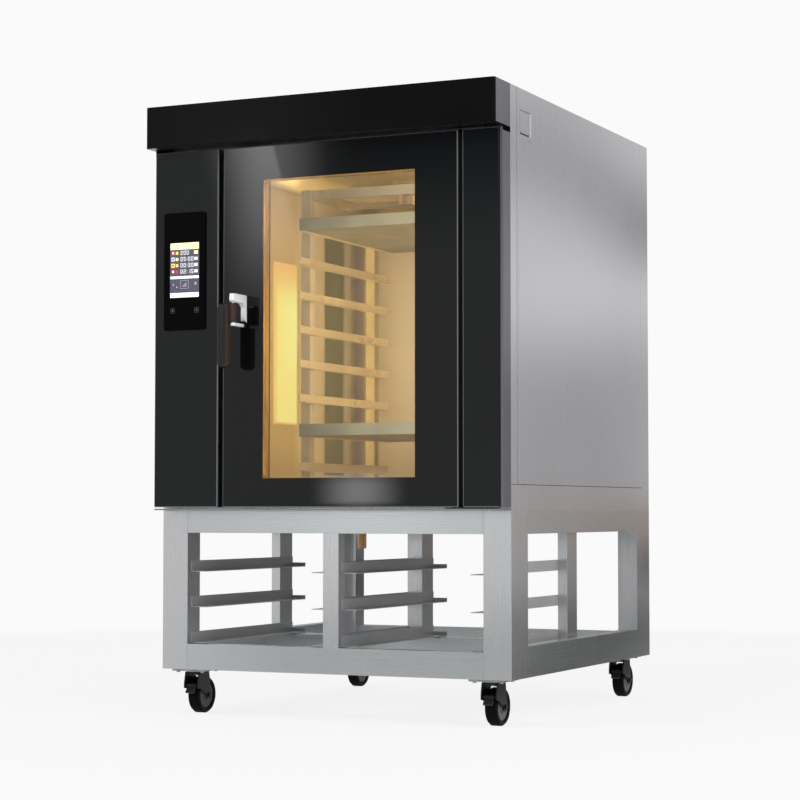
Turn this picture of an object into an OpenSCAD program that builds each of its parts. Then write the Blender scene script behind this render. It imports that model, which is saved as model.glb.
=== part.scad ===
// Rotating rack oven on a castor stand: a body with a turning tray rack, a glazed door
// hinged on the right, a rear fan with ring heaters, and an open stand with tray runners.
// Millimetres. +Z is up, the door faces -Y. The origin is on the floor, at the middle of
// the whole footprint. Inside the modules y = 0 is the front plane of the body and stand.

/* [Body] */
// Width of the body, the stand and the fascia
body_w = 1040; // [1030:1:1200]
// Depth of the body behind its front plane
body_d = 1110; // [1105:1:1300]
// Height of the body above the stand
body_h = 1108; // [1104:1:1250]
// Thickness of the stainless sheet
sheet_t = 2; // [1:0.1:2.5]
// Depth of the front frame's side returns
frame_d = 58; // [45:1:80]
// Depth of the back panel's returns
back_d = 68; // [50:1:90]
// Height of the base panel's skirts
base_h = 66; // [40:1:100]
// Shadow gap between neighbouring body panels
seam = 1; // [0.5:0.1:2]

/* [Front] */
// Distance that the door and the front columns stand in front of the body
panel_p = 55; // [50:1:70]
// Distance that the fascia stands in front of the body
fascia_p = 105; // [90:1:140]
// Height of the fascia
fascia_h = 114; // [80:1:118]
// Gap between the fascia and the top of the door
fascia_gap = 6; // [5:0.5:10]
// Radius of the fascia's upright front edges
fascia_r = 8; // [2:0.5:12]
// Width of the column that holds the controls
left_col_w = 200; // [175:1:215]
// Width of the column on the hinge side
right_col_w = 112; // [80:1:125]
// Upright groove between the control column and the door
left_groove = 16; // [14:0.5:24]
// Upright groove between the door and the hinge column
right_groove = 13; // [12.5:0.5:20]
// Thickness of the glass on the columns and on the door
glass_t = 5; // [3:0.5:6]
// Height of the strip and the gap below the front panels
sill_h = 8; // [7:0.5:12]

/* [Controls] */
// Width of the touch panel
touch_w = 131; // [110:1:150]
// Height of the touch panel
touch_h = 325; // [250:1:400]
// Distance that the touch panel stands in front of its column
touch_t = 4; // [2:0.5:6]
// Distance from the column's outer edge to the touch panel
touch_inset = 31; // [15:1:38]
// Height of the touch panel's lower edge above the front panels' lower edge
touch_lift = 485; // [300:1:560]
// Width of the display
screen_w = 92; // [70:1:100]
// Height of the display
screen_h = 152; // [110:1:180]
// Height of the display above the touch panel's lower edge
screen_lift = 90; // [60:1:110]

/* [Door] */
// Thickness of the door, with its outer glass
door_t = 45; // [40:1:48]
// Gap between the door and the front frame
door_gap = 10; // [8:0.5:12]
// Width of the window
window_w = 452; // [380:1:480]
// Height of the window
window_h = 808; // [700:1:830]
// Height of the window's lower edge above the door's lower edge
window_lift = 78; // [60:1:100]
// Distance of the hinge axis from the door's edge
hinge_inset = 20; // [18:0.5:21]
// Radius of the hinge pins
hinge_pin_r = 6; // [4:0.5:8]
// Length of a hinge pin inside the door
hinge_pin_l = 26; // [15:1:40]
// Width of the door seal
seal_w = 12; // [8:1:13]
// Running clearance around pins, shafts and axles
fit_gap = 0.05; // [0.02:0.01:0.1]
// Gap between soft or flat faces that move past each other
face_gap = 0.4; // [0.3:0.1:0.8]

/* [Handle] */
// Distance of the handle's pin from the door's free edge
handle_inset = 67; // [60:1:80]
// Distance of the handle's pin in front of the door
handle_reach = 62; // [50:1:80]
// Height of the handle's bracket above the door's lower edge
handle_lift = 486; // [350:1:600]
// Height of the handle's bracket
bracket_h = 87; // [70:1:110]
// Width of the bracket's arms
bracket_w = 15; // [14:1:18]
// Height of the bracket's upper arm
upper_arm_h = 23; // [12:1:28]
// Height of the bracket's lower arm
lower_arm_h = 8; // [5:1:12]
// Radius of the handle's pin
handle_pin_r = 4; // [3:0.5:5]
// Length of the grip
grip_l = 173; // [140:1:220]
// Width of the grip
grip_w = 33; // [24:1:38]
// Depth of the grip
grip_d = 38; // [26:1:44]
// Height of the latch bolt
bolt_h = 20; // [12:1:30]
// Thickness of the latch bolt
bolt_t = 8; // [5:1:12]
// Distance that the latch bolt stands out of the door's edge
bolt_out = 12; // [6:0.5:12]

/* [Cavity] */
// Radius kept free around the rack's axis
cavity_r = 405; // [395:1:412]
// Height of the baking cavity
cavity_h = 912; // [900:1:920]
// Height of the cavity floor above the body's underside
cavity_lift = 38; // [34:1:44]
// Distance of the rack's axis in front of the body's back
rack_back = 610; // [600:1:640]
// Distance from the door's free edge to the mouth of the cavity
mouth_left = 30; // [24:1:40]
// Distance from the door's hinged edge to the mouth of the cavity
mouth_right = 47; // [44:1:60]
// Depth of the fan chamber behind the cavity
chamber_d = 70; // [66:1:90]
// Thickness of the insulation behind the cavity
back_wool_t = 35; // [20:1:40]
// Air gap between the side insulation and the folds of the side panels
side_air = 33; // [20:1:50]
// Thickness of the insulation on the roof
roof_wool_t = 44; // [25:1:46]

/* [Air] */
// Radius of the fan
fan_r = 150; // [110:1:165]
// Depth of the fan's blades
fan_d = 42; // [30:1:46]
// Number of fan blades
fan_blades = 12; // [6:1:24]
// Thickness of a fan blade
blade_t = 2.5; // [1:0.5:4]
// Radius of the fan's shaft
fan_shaft_r = 8; // [6:0.5:12]
// Radius of the fan's motor
fan_motor_r = 65; // [50:1:80]
// Length of the fan's motor
fan_motor_l = 80; // [60:1:82]
// Radius of the air guide's intake, which is a field of holes
intake_r = 112; // [80:1:130]
// Width of the outlet slot at each side of the air guide
outlet_w = 62; // [40:1:90]
// Number of ring heaters
heaters = 3; // [1:1:3]
// Radius of the rear ring heater
heater_r = 182; // [172:1:200]
// Radius of a heater's tube
heater_tube_r = 5; // [4:0.5:6]
// Distance between the ring heaters
heater_pitch = 16; // [14:1:17]

/* [Lamps] */
// Width of a lamp's glass, along the cavity wall
lamp_w = 150; // [80:1:200]
// Height of a lamp's glass
lamp_h = 480; // [200:1:600]
// Depth of a lamp's housing
lamp_d = 32; // [20:1:50]

/* [Rack] */
// Width of a tray
tray_w = 400; // [360:1:410]
// Length of a tray
tray_l = 600; // [540:1:610]
// Height of a tray
tray_h = 33; // [20:1:40]
// Thickness of a tray's sheet
tray_t = 2; // [1:0.1:3]
// Number of tray levels
levels = 8; // [4:1:8]
// Distance between tray levels
level_pitch = 96.5; // [70:0.5:97]
// Height of the lowest rail above the cavity floor
first_level = 71; // [60:1:80]
// Length of a rail
rail_l = 580; // [520:1:600]
// Height of a rail's web
rail_h = 25; // [15:1:30]
// Width of a rail's flange
rail_flange = 16; // [10:1:30]
// Thickness of a rail
rail_t = 2; // [1.5:0.1:3]
// Gap between a tray and the rails' webs
tray_gap = 3; // [1:0.5:5]
// Size of the rack's square tube
rack_tube = 28; // [20:1:30]
// Distance between the rack's uprights, from centre to centre
rack_span = 422; // [360:1:460]
// Height of the rack's lower frame above the cavity floor
rack_lift = 14; // [10:1:18]
// Height of the rack's upper frame above the cavity floor
rack_top = 845; // [835:1:860]
// Radius of the rack's shaft
rack_shaft_r = 12.5; // [10:0.5:16]
// Radius of the rack's lower pivot
rack_pivot_r = 10; // [8:0.5:14]

/* [Stand] */
// Height of the stand's frame
stand_h = 437; // [425:1:600]
// Width of the corner posts
post_w = 50; // [40:1:60]
// Depth of the corner posts
post_d = 115; // [80:1:130]
// Width of the smaller posts that carry the runners
runner_post_w = 28; // [20:1:40]
// Depth of the runner posts at the corners
runner_post_d = 62; // [45:1:80]
// Depth of the middle posts
mid_post_d = 77; // [50:1:90]
// Distance of the middle posts behind the front plane
mid_post_y = 539; // [480:1:560]
// Width of the centre posts
centre_post_w = 46; // [40:1:60]
// Wall of the stand's tubes
tube_t = 2.5; // [2:0.1:4]
// Height of the top rails
top_rail_h = 62; // [50:1:70]
// Height of the front and rear bottom rails
bottom_rail_h = 70; // [50:1:74]
// Height of the bottom rails at the sides
side_rail_h = 82; // [50:1:90]
// Depth of the rails
rail_d = 40; // [30:1:48]
// Levels of tray runners in the stand
runner_levels = 3; // [1:1:3]
// Distance between the runner levels
runner_pitch = 98; // [80:1:102]
// Height of the lowest runner above the bottom rails
first_runner = 2; // [1:1:34]
// Distance of the runners behind the front plane
runner_inset = 20; // [10:1:40]
// Height of a runner's web
runner_h = 30; // [20:1:40]
// Height of the stop at a runner's rear end
runner_stop_h = 12; // [5:1:20]
// Width of a runner's flange
runner_flange = 45; // [20:1:50]

/* [Castors] */
// Height of a castor with its plate
castor_h = 125; // [122:1:140]
// Radius of a castor's wheel
wheel_r = 50; // [40:1:51]
// Width of a castor's wheel
wheel_w = 34; // [24:1:40]
// Distance of the wheel's axle behind the swivel axis
castor_trail = 27; // [15:1:30]
// Distance of the swivel axis from the stand's side
castor_x_inset = 75; // [60:1:85]
// Distance of the swivel axis from the stand's front or back
castor_y_inset = 60; // [56:1:75]
// Width of a castor's plate
castor_plate_w = 100; // [80:1:110]
// Radius of a castor's axle
axle_r = 6; // [4:0.5:8]
// Thickness of a castor's fork
fork_t = 3.5; // [2.5:0.5:5]

/* [Services] */
// Radius of the flue's bore
flue_r = 47.5; // [30:0.5:55]
// Height of the flue above the roof
flue_h = 60; // [40:1:90]
// Wall of the flue
flue_t = 2.5; // [2:0.5:4]
// Radius of the damper's axle
damper_axle_r = 4; // [3:0.5:6]
// Radius of the water inlet's stub
inlet_r = 13.2; // [8:0.1:16]
// Length of the stubs behind the back panel
stub_l = 30; // [20:1:50]
// Radius of the drain's pipe
drain_r = 12.5; // [10:0.5:18]
// Radius of the cable gland's bore
gland_r = 9; // [6:0.5:12]

/* [Hidden] */

$fn = 64;
eps = 0.01;          // overshoot of cutting shapes
small_fn = 32;       // facets of the shapes that are blended with hull

// Colours
steel = [0.72, 0.74, 0.75];
bright_steel = [0.8, 0.79, 0.74];
chrome = [0.86, 0.86, 0.87];
black = [0.09, 0.09, 0.09];
charcoal = [0.16, 0.16, 0.17];
clear = [0.75, 0.82, 0.84, 0.35];
dark_clear = [0.1, 0.1, 0.11, 0.6];
warm = [1.0, 0.85, 0.45];
wool = [0.75, 0.72, 0.6];
screen_blue = [0.24, 0.23, 0.29];

// Levels, from the floor up
stand_z = castor_h;
body_z = stand_z + stand_h;
body_top = body_z + body_h;
panel_z = body_z + sill_h;
panel_top = body_top - fascia_h - fascia_gap;
cavity_z = body_z + cavity_lift;
cavity_top = cavity_z + cavity_h;
wool_top = cavity_top + sheet_t + roof_wool_t;

// Widths, from the middle out
half_w = body_w / 2;
column_edge = 2;     // setback of the control column from the body's side
door_x0 = -half_w + column_edge + left_col_w + left_groove;
door_x1 = half_w - right_col_w - right_groove;
left_col_x1 = door_x0 - left_groove;
right_col_x0 = door_x1 + right_groove;
window_x0 = (door_x0 + door_x1 - window_w) / 2;
window_z = panel_z + window_lift;
mouth_x0 = door_x0 + mouth_left;
mouth_x1 = door_x1 - mouth_right;

// Depths, from the front plane back
rack_y = body_d - rack_back;
guide_y = rack_y + cavity_r;
cavity_back_y = guide_y + chamber_d;
wool_back_y = cavity_back_y + sheet_t + back_wool_t;
back_y0 = body_d - back_d;
door_front = -panel_p;
door_back = -door_gap;
seal_t = door_gap - face_gap;

// Hinge axis of the door
hinge_x = door_x1 - hinge_inset;
hinge_y = -door_gap - door_t / 2;

// Handle
pin_x = door_x0 + handle_inset;
pin_y = door_front - handle_reach;
bracket_z = panel_z + handle_lift;
bracket_top = bracket_z + bracket_h;
grip_gap = 1.5;      // between the grip and the round end of the bracket's arms
grip_x1 = pin_x - bracket_w / 2 - grip_gap;
grip_x0 = grip_x1 - grip_w;
grip_top = bracket_top - upper_arm_h - 3;
grip_front = pin_y - grip_d / 2 - 2;

// Footprint: from the grip's front to the stubs at the back
front_reach = -grip_front;
centre_y = (body_d + stub_l - front_reach) / 2;

// Rack
rail_x = tray_w / 2 + tray_gap;
rack_outer = rail_x + rail_t;
rack_base_z = cavity_z + rack_lift;
rack_top_z = cavity_z + rack_top;
function level_z(i) = cavity_z + first_level + i * level_pitch;
upper_tray_level = levels - 1;
lower_tray_level = 1;
tray_rest = face_gap; // tray floor above the rails' flanges

// Castors: side and end of each, as [x sign, y position]
rear_castor_y = body_d - castor_y_inset;
castor_x = half_w - castor_x_inset;
function castor_y(end) = end < 0 ? castor_y_inset : rear_castor_y;
plate_t = 6;
fork_inner = wheel_w / 2 + 2.5;

// Stand
bay_x = half_w - post_w - runner_post_w;
top_rail_z = body_z - top_rail_h;
bottom_rail_top = stand_z + bottom_rail_h;
mid_post_end = mid_post_y + mid_post_d;
function runner_z(i) = bottom_rail_top + first_runner + i * runner_pitch;

// Body details
side_fold = 20;      // fold of the side panels towards the inside
side_wool_t = half_w - side_fold - side_air - cavity_r - sheet_t;
cover_y = 67;        // small cover plate on the right side, behind the front plane
cover_w = 73;
cover_h = 55;
cover_drop = 60;     // below the body's top
cover_groove = 1;    // groove round the cover plate
vent_rows = 10;      // cooling slots in the back panel
vent_pitch = 18;
vent_h = 6;
vent_l = 160;
vent_x = 330;
vent_drop = 300;     // of the lowest slot below the body's top
vent_z = body_top - vent_drop;
stub_gap = 0.5;      // around pipes and collars in the panels

// Front details
sill_t = 4;
sill_back = 3;       // setback of the sill behind the front glass
fascia_t = fascia_r; // the fascia is as thick as its round edges
glass_rebate = 9;    // bare steel edge of the hinge column beside its glass
touch_r = 8;
touch_x0 = -half_w + column_edge + touch_inset;
touch_z = panel_z + touch_lift;
screen_t = 1.5;
screen_x0 = touch_x0 + (touch_w - screen_w) / 2;
screen_z = touch_z + screen_lift;

// Cavity details
lamp_z = cavity_z + (cavity_h - lamp_h) / 2;
lamp_rim = 14;
lamp_tube_r = 8;
intake_rings = 3;    // rings of holes round the middle one
bearing_r = 32;
bearing_flange_r = 48;
bearing_flange_t = 8;

// Fan and heaters
fan_z = cavity_z + cavity_h / 2;
fan_plate_t = 3;
fan_back_gap = 10;   // between the fan and the rear wall
fan_y1 = cavity_back_y - fan_back_gap;
fan_y0 = fan_y1 - fan_plate_t - fan_d;
fan_hub_r = 24;
fan_ring_w = 12;
shaft_gap = 1;       // around the fan's shaft in the walls
shaft_depth = 45;    // of the fan's shaft in its motor
heater_y0 = cavity_back_y - 12;
heater_leg = 26;     // distance of the first legs from the fan's centre line
heater_leg_step = 16;
heater_leg_l = 15;   // legs behind the insulation
heater_gap = 0.3;
heater_leg_r = heater_tube_r - 0.5;
heater_step = 2 * heater_tube_r + 3; // each ring is wider than the one behind it

// Services
flue_x = 270;
flue_y = rack_y + 290;
flue_flange_w = 20;
spigot_z = body_top + 20;
flue_sleeve_t = 3;   // the flue's lower part is thicker than its spigot
flue_outer = flue_r + flue_t + flue_sleeve_t;
damper_z = body_top + 13;
damper_t = 3;
damper_gap = 1.5;
damper_arm = 34;
inlet_x = -250;
inlet_z = fan_z + 150;
pipe_r = 6;
pipe_gap = 0.3;
pipe_end = 18;       // of the water pipe inside the fan chamber
valve_size = 44;
valve_l = 52;
gland_x = 300;
gland_z = body_z + 120;
gland_wall = 4;
gland_out = 22;
gland_in = 12;
drain_x = -248;
drain_back = 84;      // of the drain behind the stand's middle posts
drain_y = mid_post_end + drain_back;
drain_l = 115;       // below the body
drain_wall = 2;
drain_gap = 0.5;
drain_flange_w = 8;
drain_flange_t = 4;

// Hinge, handle and latch
bracket_t = 3;
bracket_front = 5;   // setback of the hinge brackets behind the front glass
bracket_side = 95;   // of the hinge brackets beside the hinge axis
bracket_inner = 20;
washer_t = 1;        // gap between the door and the hinge brackets
hinge_block = 17;
hub_r = 11;
base_t = 8;
arm_over = 10;       // of the upper arm in front of the pin
grip_z0 = grip_top - grip_l;
bolt_y = (door_front + glass_t + door_back) / 2;
bolt_z = bracket_z + bracket_h / 2;
bolt_in = 60;        // length of the latch bolt inside the door

// Gearmotor
gearbox_w = 120;
gearbox_d = 140;
gearbox_h = 75;
motor_r = 38;
motor_l = 150;

// Castor details
race_t = 3;
race_r = 30;
race_gap = 0.5;
crown_t = 5.5;
crown_z = castor_h - plate_t - race_t - race_gap - crown_t;
kingpin_r = 6;
nut_r = 10;
nut_h = 5;
boss_r = 12;
bolt_offset = 38;    // castor bolts from the swivel axis
castor_bolt_r = 5;
castor_bolt_h = 4;
pedal_pin_r = 3;
pedal_knuckle_r = 6.5;
pedal_w = 28;
pedal_t = 5;
pedal_l = 24;
pedal_y = castor_trail - wheel_r - 3;
pedal_z = wheel_r + 28;
pedal_tilt = 52;     // of the pressed pedal below the horizontal

// Draws its children around the middle of the footprint
module centred() { translate([0, -centre_y, 0]) children(); }

// Box between two corners
module box(low, high) { translate(low) cube(high - low); }

// Cylinders along X, Y and Z, from one end to the other
module rod_x(r, x0, x1, y, z) { translate([x0, y, z]) rotate([0, 90, 0]) cylinder(r=r, h=x1 - x0); }
module rod_y(r, x, y0, y1, z) { translate([x, y0, z]) rotate([-90, 0, 0]) cylinder(r=r, h=y1 - y0); }
module rod_z(r, x, y, z0, z1) { translate([x, y, z0]) cylinder(r=r, h=z1 - z0); }

// Square tube with open ends, along the axis 0 = X, 1 = Y or 2 = Z
module tube(low, high, wall, axis) {
    inset = [for (i = [0:2]) i == axis ? -eps : wall];
    difference() {
        box(low, high);
        box(low + inset, high - inset);
    }
}

// ---------------------------------------------------------------- stand

// Corner posts with the runner posts inside them, middle posts and centre posts
module stand_posts() {
    color(steel) centred()
    for (side = [-1, 1]) {
        outer = side < 0 ? [-half_w, -half_w + post_w] : [half_w - post_w, half_w];
        inner = side < 0 ? [-half_w + post_w, -bay_x] : [bay_x, half_w - post_w];
        for (y = [0, body_d - post_d])
            tube([outer[0], y, stand_z], [outer[1], y + post_d, body_z], tube_t, 2);
        for (y = [0, body_d - runner_post_d])
            tube([inner[0], y, stand_z], [inner[1], y + runner_post_d, body_z], tube_t, 2);
        tube([inner[0], mid_post_y, bottom_rail_top],
             [inner[1], mid_post_end, top_rail_z], tube_t, 2);
    }
    color(steel) centred()
    for (y = [[0, rail_d], [mid_post_y, mid_post_end]])
        tube([-centre_post_w / 2, y[0], bottom_rail_top],
             [centre_post_w / 2, y[1], top_rail_z], tube_t, 2);
}

// Rails of the stand: a ring at the top and one at the bottom, each with a cross rail
module stand_rails() {
    color(steel) centred()
    for (level = [[stand_z, bottom_rail_top, stand_z + side_rail_h], [top_rail_z, body_z, body_z]]) {
        for (y = [0, body_d - rail_d])
            tube([-bay_x, y, level[0]], [bay_x, y + rail_d, level[1]], tube_t, 0);
        for (x = [-half_w, half_w - rail_d])
            tube([x, post_d, level[0]], [x + rail_d, body_d - post_d, level[2]], tube_t, 1);
        tube([-half_w + rail_d, mid_post_y, level[0]],
             [half_w - rail_d, mid_post_end, level[1]], tube_t, 0);
    }
}

// One angle runner, its web against a post at x and its flange pointing along dir,
// with a stop for the tray at its rear end
module runner(x, dir, z) {
    web = [x, x + dir * sheet_t];
    flange = [x, x + dir * runner_flange];
    box([min(web), runner_inset, z], [max(web), mid_post_end, z + runner_h]);
    box([min(flange), runner_inset, z], [max(flange), mid_post_end, z + sheet_t]);
    box([min(flange), mid_post_end - sheet_t, z], [max(flange), mid_post_end, z + runner_stop_h]);
}

// Angle runners for trays, in pairs, in both bays of the stand
module stand_runners() {
    color(steel) centred()
    for (i = [0:runner_levels - 1]) {
        runner(-bay_x, 1, runner_z(i));
        runner(-centre_post_w / 2, -1, runner_z(i));
        runner(centre_post_w / 2, 1, runner_z(i));
        runner(bay_x, -1, runner_z(i));
    }
}

// ---------------------------------------------------------------- body panels

// Base pan under the cavity, with skirts that show at the sides
module base_panel() {
    color(steel) centred()
    difference() {
        box([-half_w, frame_d + seam, body_z], [half_w, back_y0 - seam, body_z + base_h]);
        box([-half_w + sheet_t, frame_d + seam + sheet_t, body_z + sheet_t],
            [half_w - sheet_t, back_y0 - seam - sheet_t, body_z + base_h + eps]);
        // the folds in front and at the back end below the cavity's floor
        box([-half_w + sheet_t, frame_d, cavity_z - sheet_t],
            [half_w - sheet_t, back_y0, body_z + base_h + eps]);
        box([drain_x - drain_r - drain_gap, drain_y - drain_r - drain_gap, body_z - eps],
            [drain_x + drain_r + drain_gap, drain_y + drain_r + drain_gap, body_z + sheet_t + eps]);
    }
}

// One side panel; side is -1 for the left one and 1 for the right one
module side_panel(side) {
    x = side * half_w;
    inner = side * (half_w - sheet_t);
    fold = side * (half_w - side_fold);
    low = body_z + base_h + seam;
    box([min(x, inner), frame_d + seam, low], [max(x, inner), back_y0 - seam, body_top]);
    for (y = [frame_d + seam, back_y0 - seam - sheet_t])
        box([min(inner, fold), y, low], [max(inner, fold), y + sheet_t, body_top - sheet_t]);
}

module side_panel_left() {
    color(steel) centred() side_panel(-1);
}

// Right side panel, with the groove round the small cover near its top front corner
module side_panel_right() {
    y = [cover_y, cover_y + cover_w];
    z = [body_top - cover_drop - cover_h, body_top - cover_drop];
    color(steel) centred()
    difference() {
        side_panel(1);
        difference() {
            box([half_w - cover_groove, y[0], z[0]], [half_w + eps, y[1], z[1]]);
            box([half_w - 2 * cover_groove, y[0] + cover_groove, z[0] + cover_groove],
                [half_w + 2 * eps, y[1] - cover_groove, z[1] - cover_groove]);
        }
    }
}

// Back pan with returns all round and the holes for the services
module back_panel() {
    color(steel) centred()
    difference() {
        box([-half_w, back_y0, body_z], [half_w, body_d, body_top]);
        box([-half_w + sheet_t, back_y0 - eps, body_z + sheet_t],
            [half_w - sheet_t, body_d - sheet_t, body_top - sheet_t]);
        rod_y(inlet_r + stub_gap, inlet_x, body_d - sheet_t - eps, body_d + eps, inlet_z);
        rod_y(gland_r + gland_wall + stub_gap, gland_x, body_d - sheet_t - eps, body_d + eps, gland_z);
        for (row = [0:vent_rows - 1], column = [-1, 1])
            box([column * vent_x - vent_l / 2, body_d - sheet_t - eps, vent_z + row * vent_pitch],
                [column * vent_x + vent_l / 2, body_d + eps, vent_z + row * vent_pitch + vent_h]);
    }
}

// Roof sheet between the side panels, with the hole for the flue
module roof_panel() {
    color(steel) centred()
    difference() {
        box([-half_w + sheet_t, frame_d + seam, body_top - sheet_t],
            [half_w - sheet_t, back_y0 - seam, body_top]);
        rod_z(flue_outer + stub_gap, flue_x, flue_y, body_top - sheet_t - eps, body_top + eps);
    }
}

// Front frame: face sheet, side returns, and the sleeve and inner sheet round the mouth
module front_frame() {
    wall_x = cavity_r + sheet_t;
    wall_low = cavity_z - sheet_t;
    wall_high = cavity_top + sheet_t;
    color(steel) centred()
    difference() {
        box([-half_w, 0, body_z], [half_w, frame_d, body_top]);
        // channel behind the face sheet, open at the back outside the cavity's walls
        difference() {
            box([-half_w + sheet_t, sheet_t, body_z + sheet_t],
                [half_w - sheet_t, frame_d + eps, body_top - sheet_t]);
            box([mouth_x0 - sheet_t, 0, wall_low], [mouth_x1 + sheet_t, frame_d + 2 * eps, wall_high]);
            box([-wall_x, frame_d - sheet_t, wall_low], [wall_x, frame_d + 2 * eps, wall_high]);
        }
        box([mouth_x0, -eps, cavity_z], [mouth_x1, frame_d + eps, cavity_top]);
    }
}

// Bright strip that closes the foot of the front, below the door and the columns
module sill_strip() {
    color(bright_steel) centred()
    box([-half_w + column_edge, -panel_p + sill_back, body_z], [half_w, 0, body_z + sill_t]);
}

// Steel hood behind the fascia
module fascia_hood() {
    z = body_top - fascia_h;
    color(steel) centred()
    difference() {
        box([-half_w, -fascia_p + fascia_t, z], [half_w, 0, body_top]);
        box([-half_w + sheet_t, -fascia_p + fascia_t + sheet_t, z + sheet_t],
            [half_w - sheet_t, eps, body_top - sheet_t]);
    }
}

// Black fascia with rounded upright edges
module fascia_front() {
    color(black) centred() {
        z = body_top - fascia_h;
        y = -fascia_p;
        translate([0, 0, z])
        linear_extrude(fascia_h)
        union() {
            translate([-half_w + fascia_r, y]) square([body_w - 2 * fascia_r, fascia_t]);
            for (side = [-1, 1])
                intersection() {
                    translate([side * (half_w - fascia_r), y + fascia_r]) circle(fascia_r);
                    translate([side < 0 ? -half_w : half_w - fascia_r, y]) square([fascia_r, fascia_t]);
                }
        }
    }
}

// Steel boxes of the two front columns, open towards the body
module column_boxes() {
    color(steel) centred()
    for (x = [[-half_w + column_edge, left_col_x1], [right_col_x0, half_w]])
        difference() {
            box([x[0], -panel_p + glass_t, panel_z], [x[1], 0, panel_top]);
            box([x[0] + sheet_t, -panel_p + glass_t + sheet_t, panel_z + sheet_t],
                [x[1] - sheet_t, eps, panel_top - sheet_t]);
        }
}

// Dark glass on the two front columns
module column_glass() {
    color(charcoal) centred() {
        box([-half_w + column_edge, -panel_p, panel_z], [left_col_x1, -panel_p + glass_t, panel_top]);
        box([right_col_x0, -panel_p, panel_z], [half_w - glass_rebate, -panel_p + glass_t, panel_top]);
    }
}

// Touch panel: a black glass plate with rounded corners and a recess for the display
module touch_panel() {
    color(black) centred()
    difference() {
        rounded_plate(touch_x0, touch_z, touch_w, touch_h, -panel_p - touch_t, -panel_p, touch_r);
        box([screen_x0, -panel_p - touch_t - eps, screen_z],
            [screen_x0 + screen_w, -panel_p - touch_t + screen_t, screen_z + screen_h]);
    }
}

// Colour display, flush with the touch panel
module display() {
    color(screen_blue) centred()
    box([screen_x0, -panel_p - touch_t, screen_z],
        [screen_x0 + screen_w, -panel_p - touch_t + screen_t, screen_z + screen_h]);
}

// ---------------------------------------------------------------- cavity

// Left and right cavity walls, with the holes for the lamps
module cavity_sides() {
    color(bright_steel) centred()
    for (side = [-1, 1]) {
        x = side < 0 ? -cavity_r - sheet_t : cavity_r;
        difference() {
            box([x, frame_d, cavity_z], [x + sheet_t, cavity_back_y, cavity_top]);
            box([x - eps, rack_y - lamp_w / 2, lamp_z],
                [x + sheet_t + eps, rack_y + lamp_w / 2, lamp_z + lamp_h]);
        }
    }
}

// Rear cavity wall, with the holes for the fan's shaft, the heaters and the water pipe
module cavity_back() {
    x = cavity_r + sheet_t;
    color(bright_steel) centred()
    difference() {
        box([-x, cavity_back_y, cavity_z], [x, cavity_back_y + sheet_t, cavity_top]);
        rod_y(fan_shaft_r + shaft_gap, 0, cavity_back_y - eps, cavity_back_y + sheet_t + eps, fan_z);
        rod_y(pipe_r + pipe_gap, inlet_x, cavity_back_y - eps, cavity_back_y + sheet_t + eps, inlet_z);
        heater_holes(cavity_back_y - eps, cavity_back_y + sheet_t + eps);
    }
}

// Cavity roof, with the holes for the rack's bearing and the flue
module cavity_roof() {
    x = cavity_r + sheet_t;
    color(bright_steel) centred()
    difference() {
        box([-x, frame_d, cavity_top], [x, cavity_back_y + sheet_t, cavity_top + sheet_t]);
        rod_z(bearing_r + stub_gap, 0, rack_y, cavity_top - eps, cavity_top + sheet_t + eps);
        rod_z(flue_outer + stub_gap, flue_x, flue_y, cavity_top - eps, cavity_top + sheet_t + eps);
    }
}

// Cavity floor, with the hole for the drain
module cavity_floor() {
    x = cavity_r + sheet_t;
    color(bright_steel) centred()
    difference() {
        box([-x, frame_d, cavity_z - sheet_t], [x, cavity_back_y + sheet_t, cavity_z]);
        rod_z(drain_r - drain_wall, drain_x, drain_y, cavity_z - sheet_t - eps, cavity_z + eps);
    }
}

// Air guide in front of the fan, with intake holes and an outlet slot at each side
module air_guide() {
    x = cavity_r - outlet_w;
    color(bright_steel) centred() {
        difference() {
            box([-x, guide_y, cavity_z], [x, guide_y + sheet_t, cavity_top]);
            intake_holes();
        }
        // folds that hold the guide off the rear wall
        for (side = [-1, 1]) {
            fold = side < 0 ? -x : x - sheet_t;
            box([fold, guide_y + sheet_t, cavity_z], [fold + sheet_t, cavity_back_y, cavity_top]);
        }
    }
}

// Round holes in rings inside the intake's radius
module intake_holes() {
    translate([0, guide_y - eps, fan_z]) rotate([-90, 0, 0])
    for (ring = [0:intake_rings], i = [0:max(0, 6 * ring - 1)])
        rotate(i * 60 / max(ring, 1))
        translate([ring * intake_r / (intake_rings + 0.5), 0])
        cylinder(r=intake_r / (2 * intake_rings + 2), h=sheet_t + 2 * eps);
}

// Mineral wool: two sides, back, roof and floor
module insulation() {
    color(wool) centred() {
        for (side = [-1, 1]) wool_side(side);
        wool_back();
        wool_roof();
        wool_floor();
    }
}

// Wool beside the cavity, cut out for the lamp's housing
module wool_side(side) {
    x0 = cavity_r + sheet_t;
    x1 = x0 + side_wool_t;
    housing = x0 + lamp_d;
    difference() {
        box([side < 0 ? -x1 : x0, frame_d, cavity_z], [side < 0 ? -x0 : x1, cavity_back_y, cavity_top]);
        box([side < 0 ? -housing : x0 - eps, rack_y - lamp_w / 2 - lamp_rim, lamp_z - lamp_rim],
            [side < 0 ? -x0 + eps : housing, rack_y + lamp_w / 2 + lamp_rim, lamp_z + lamp_h + lamp_rim]);
    }
}

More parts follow.
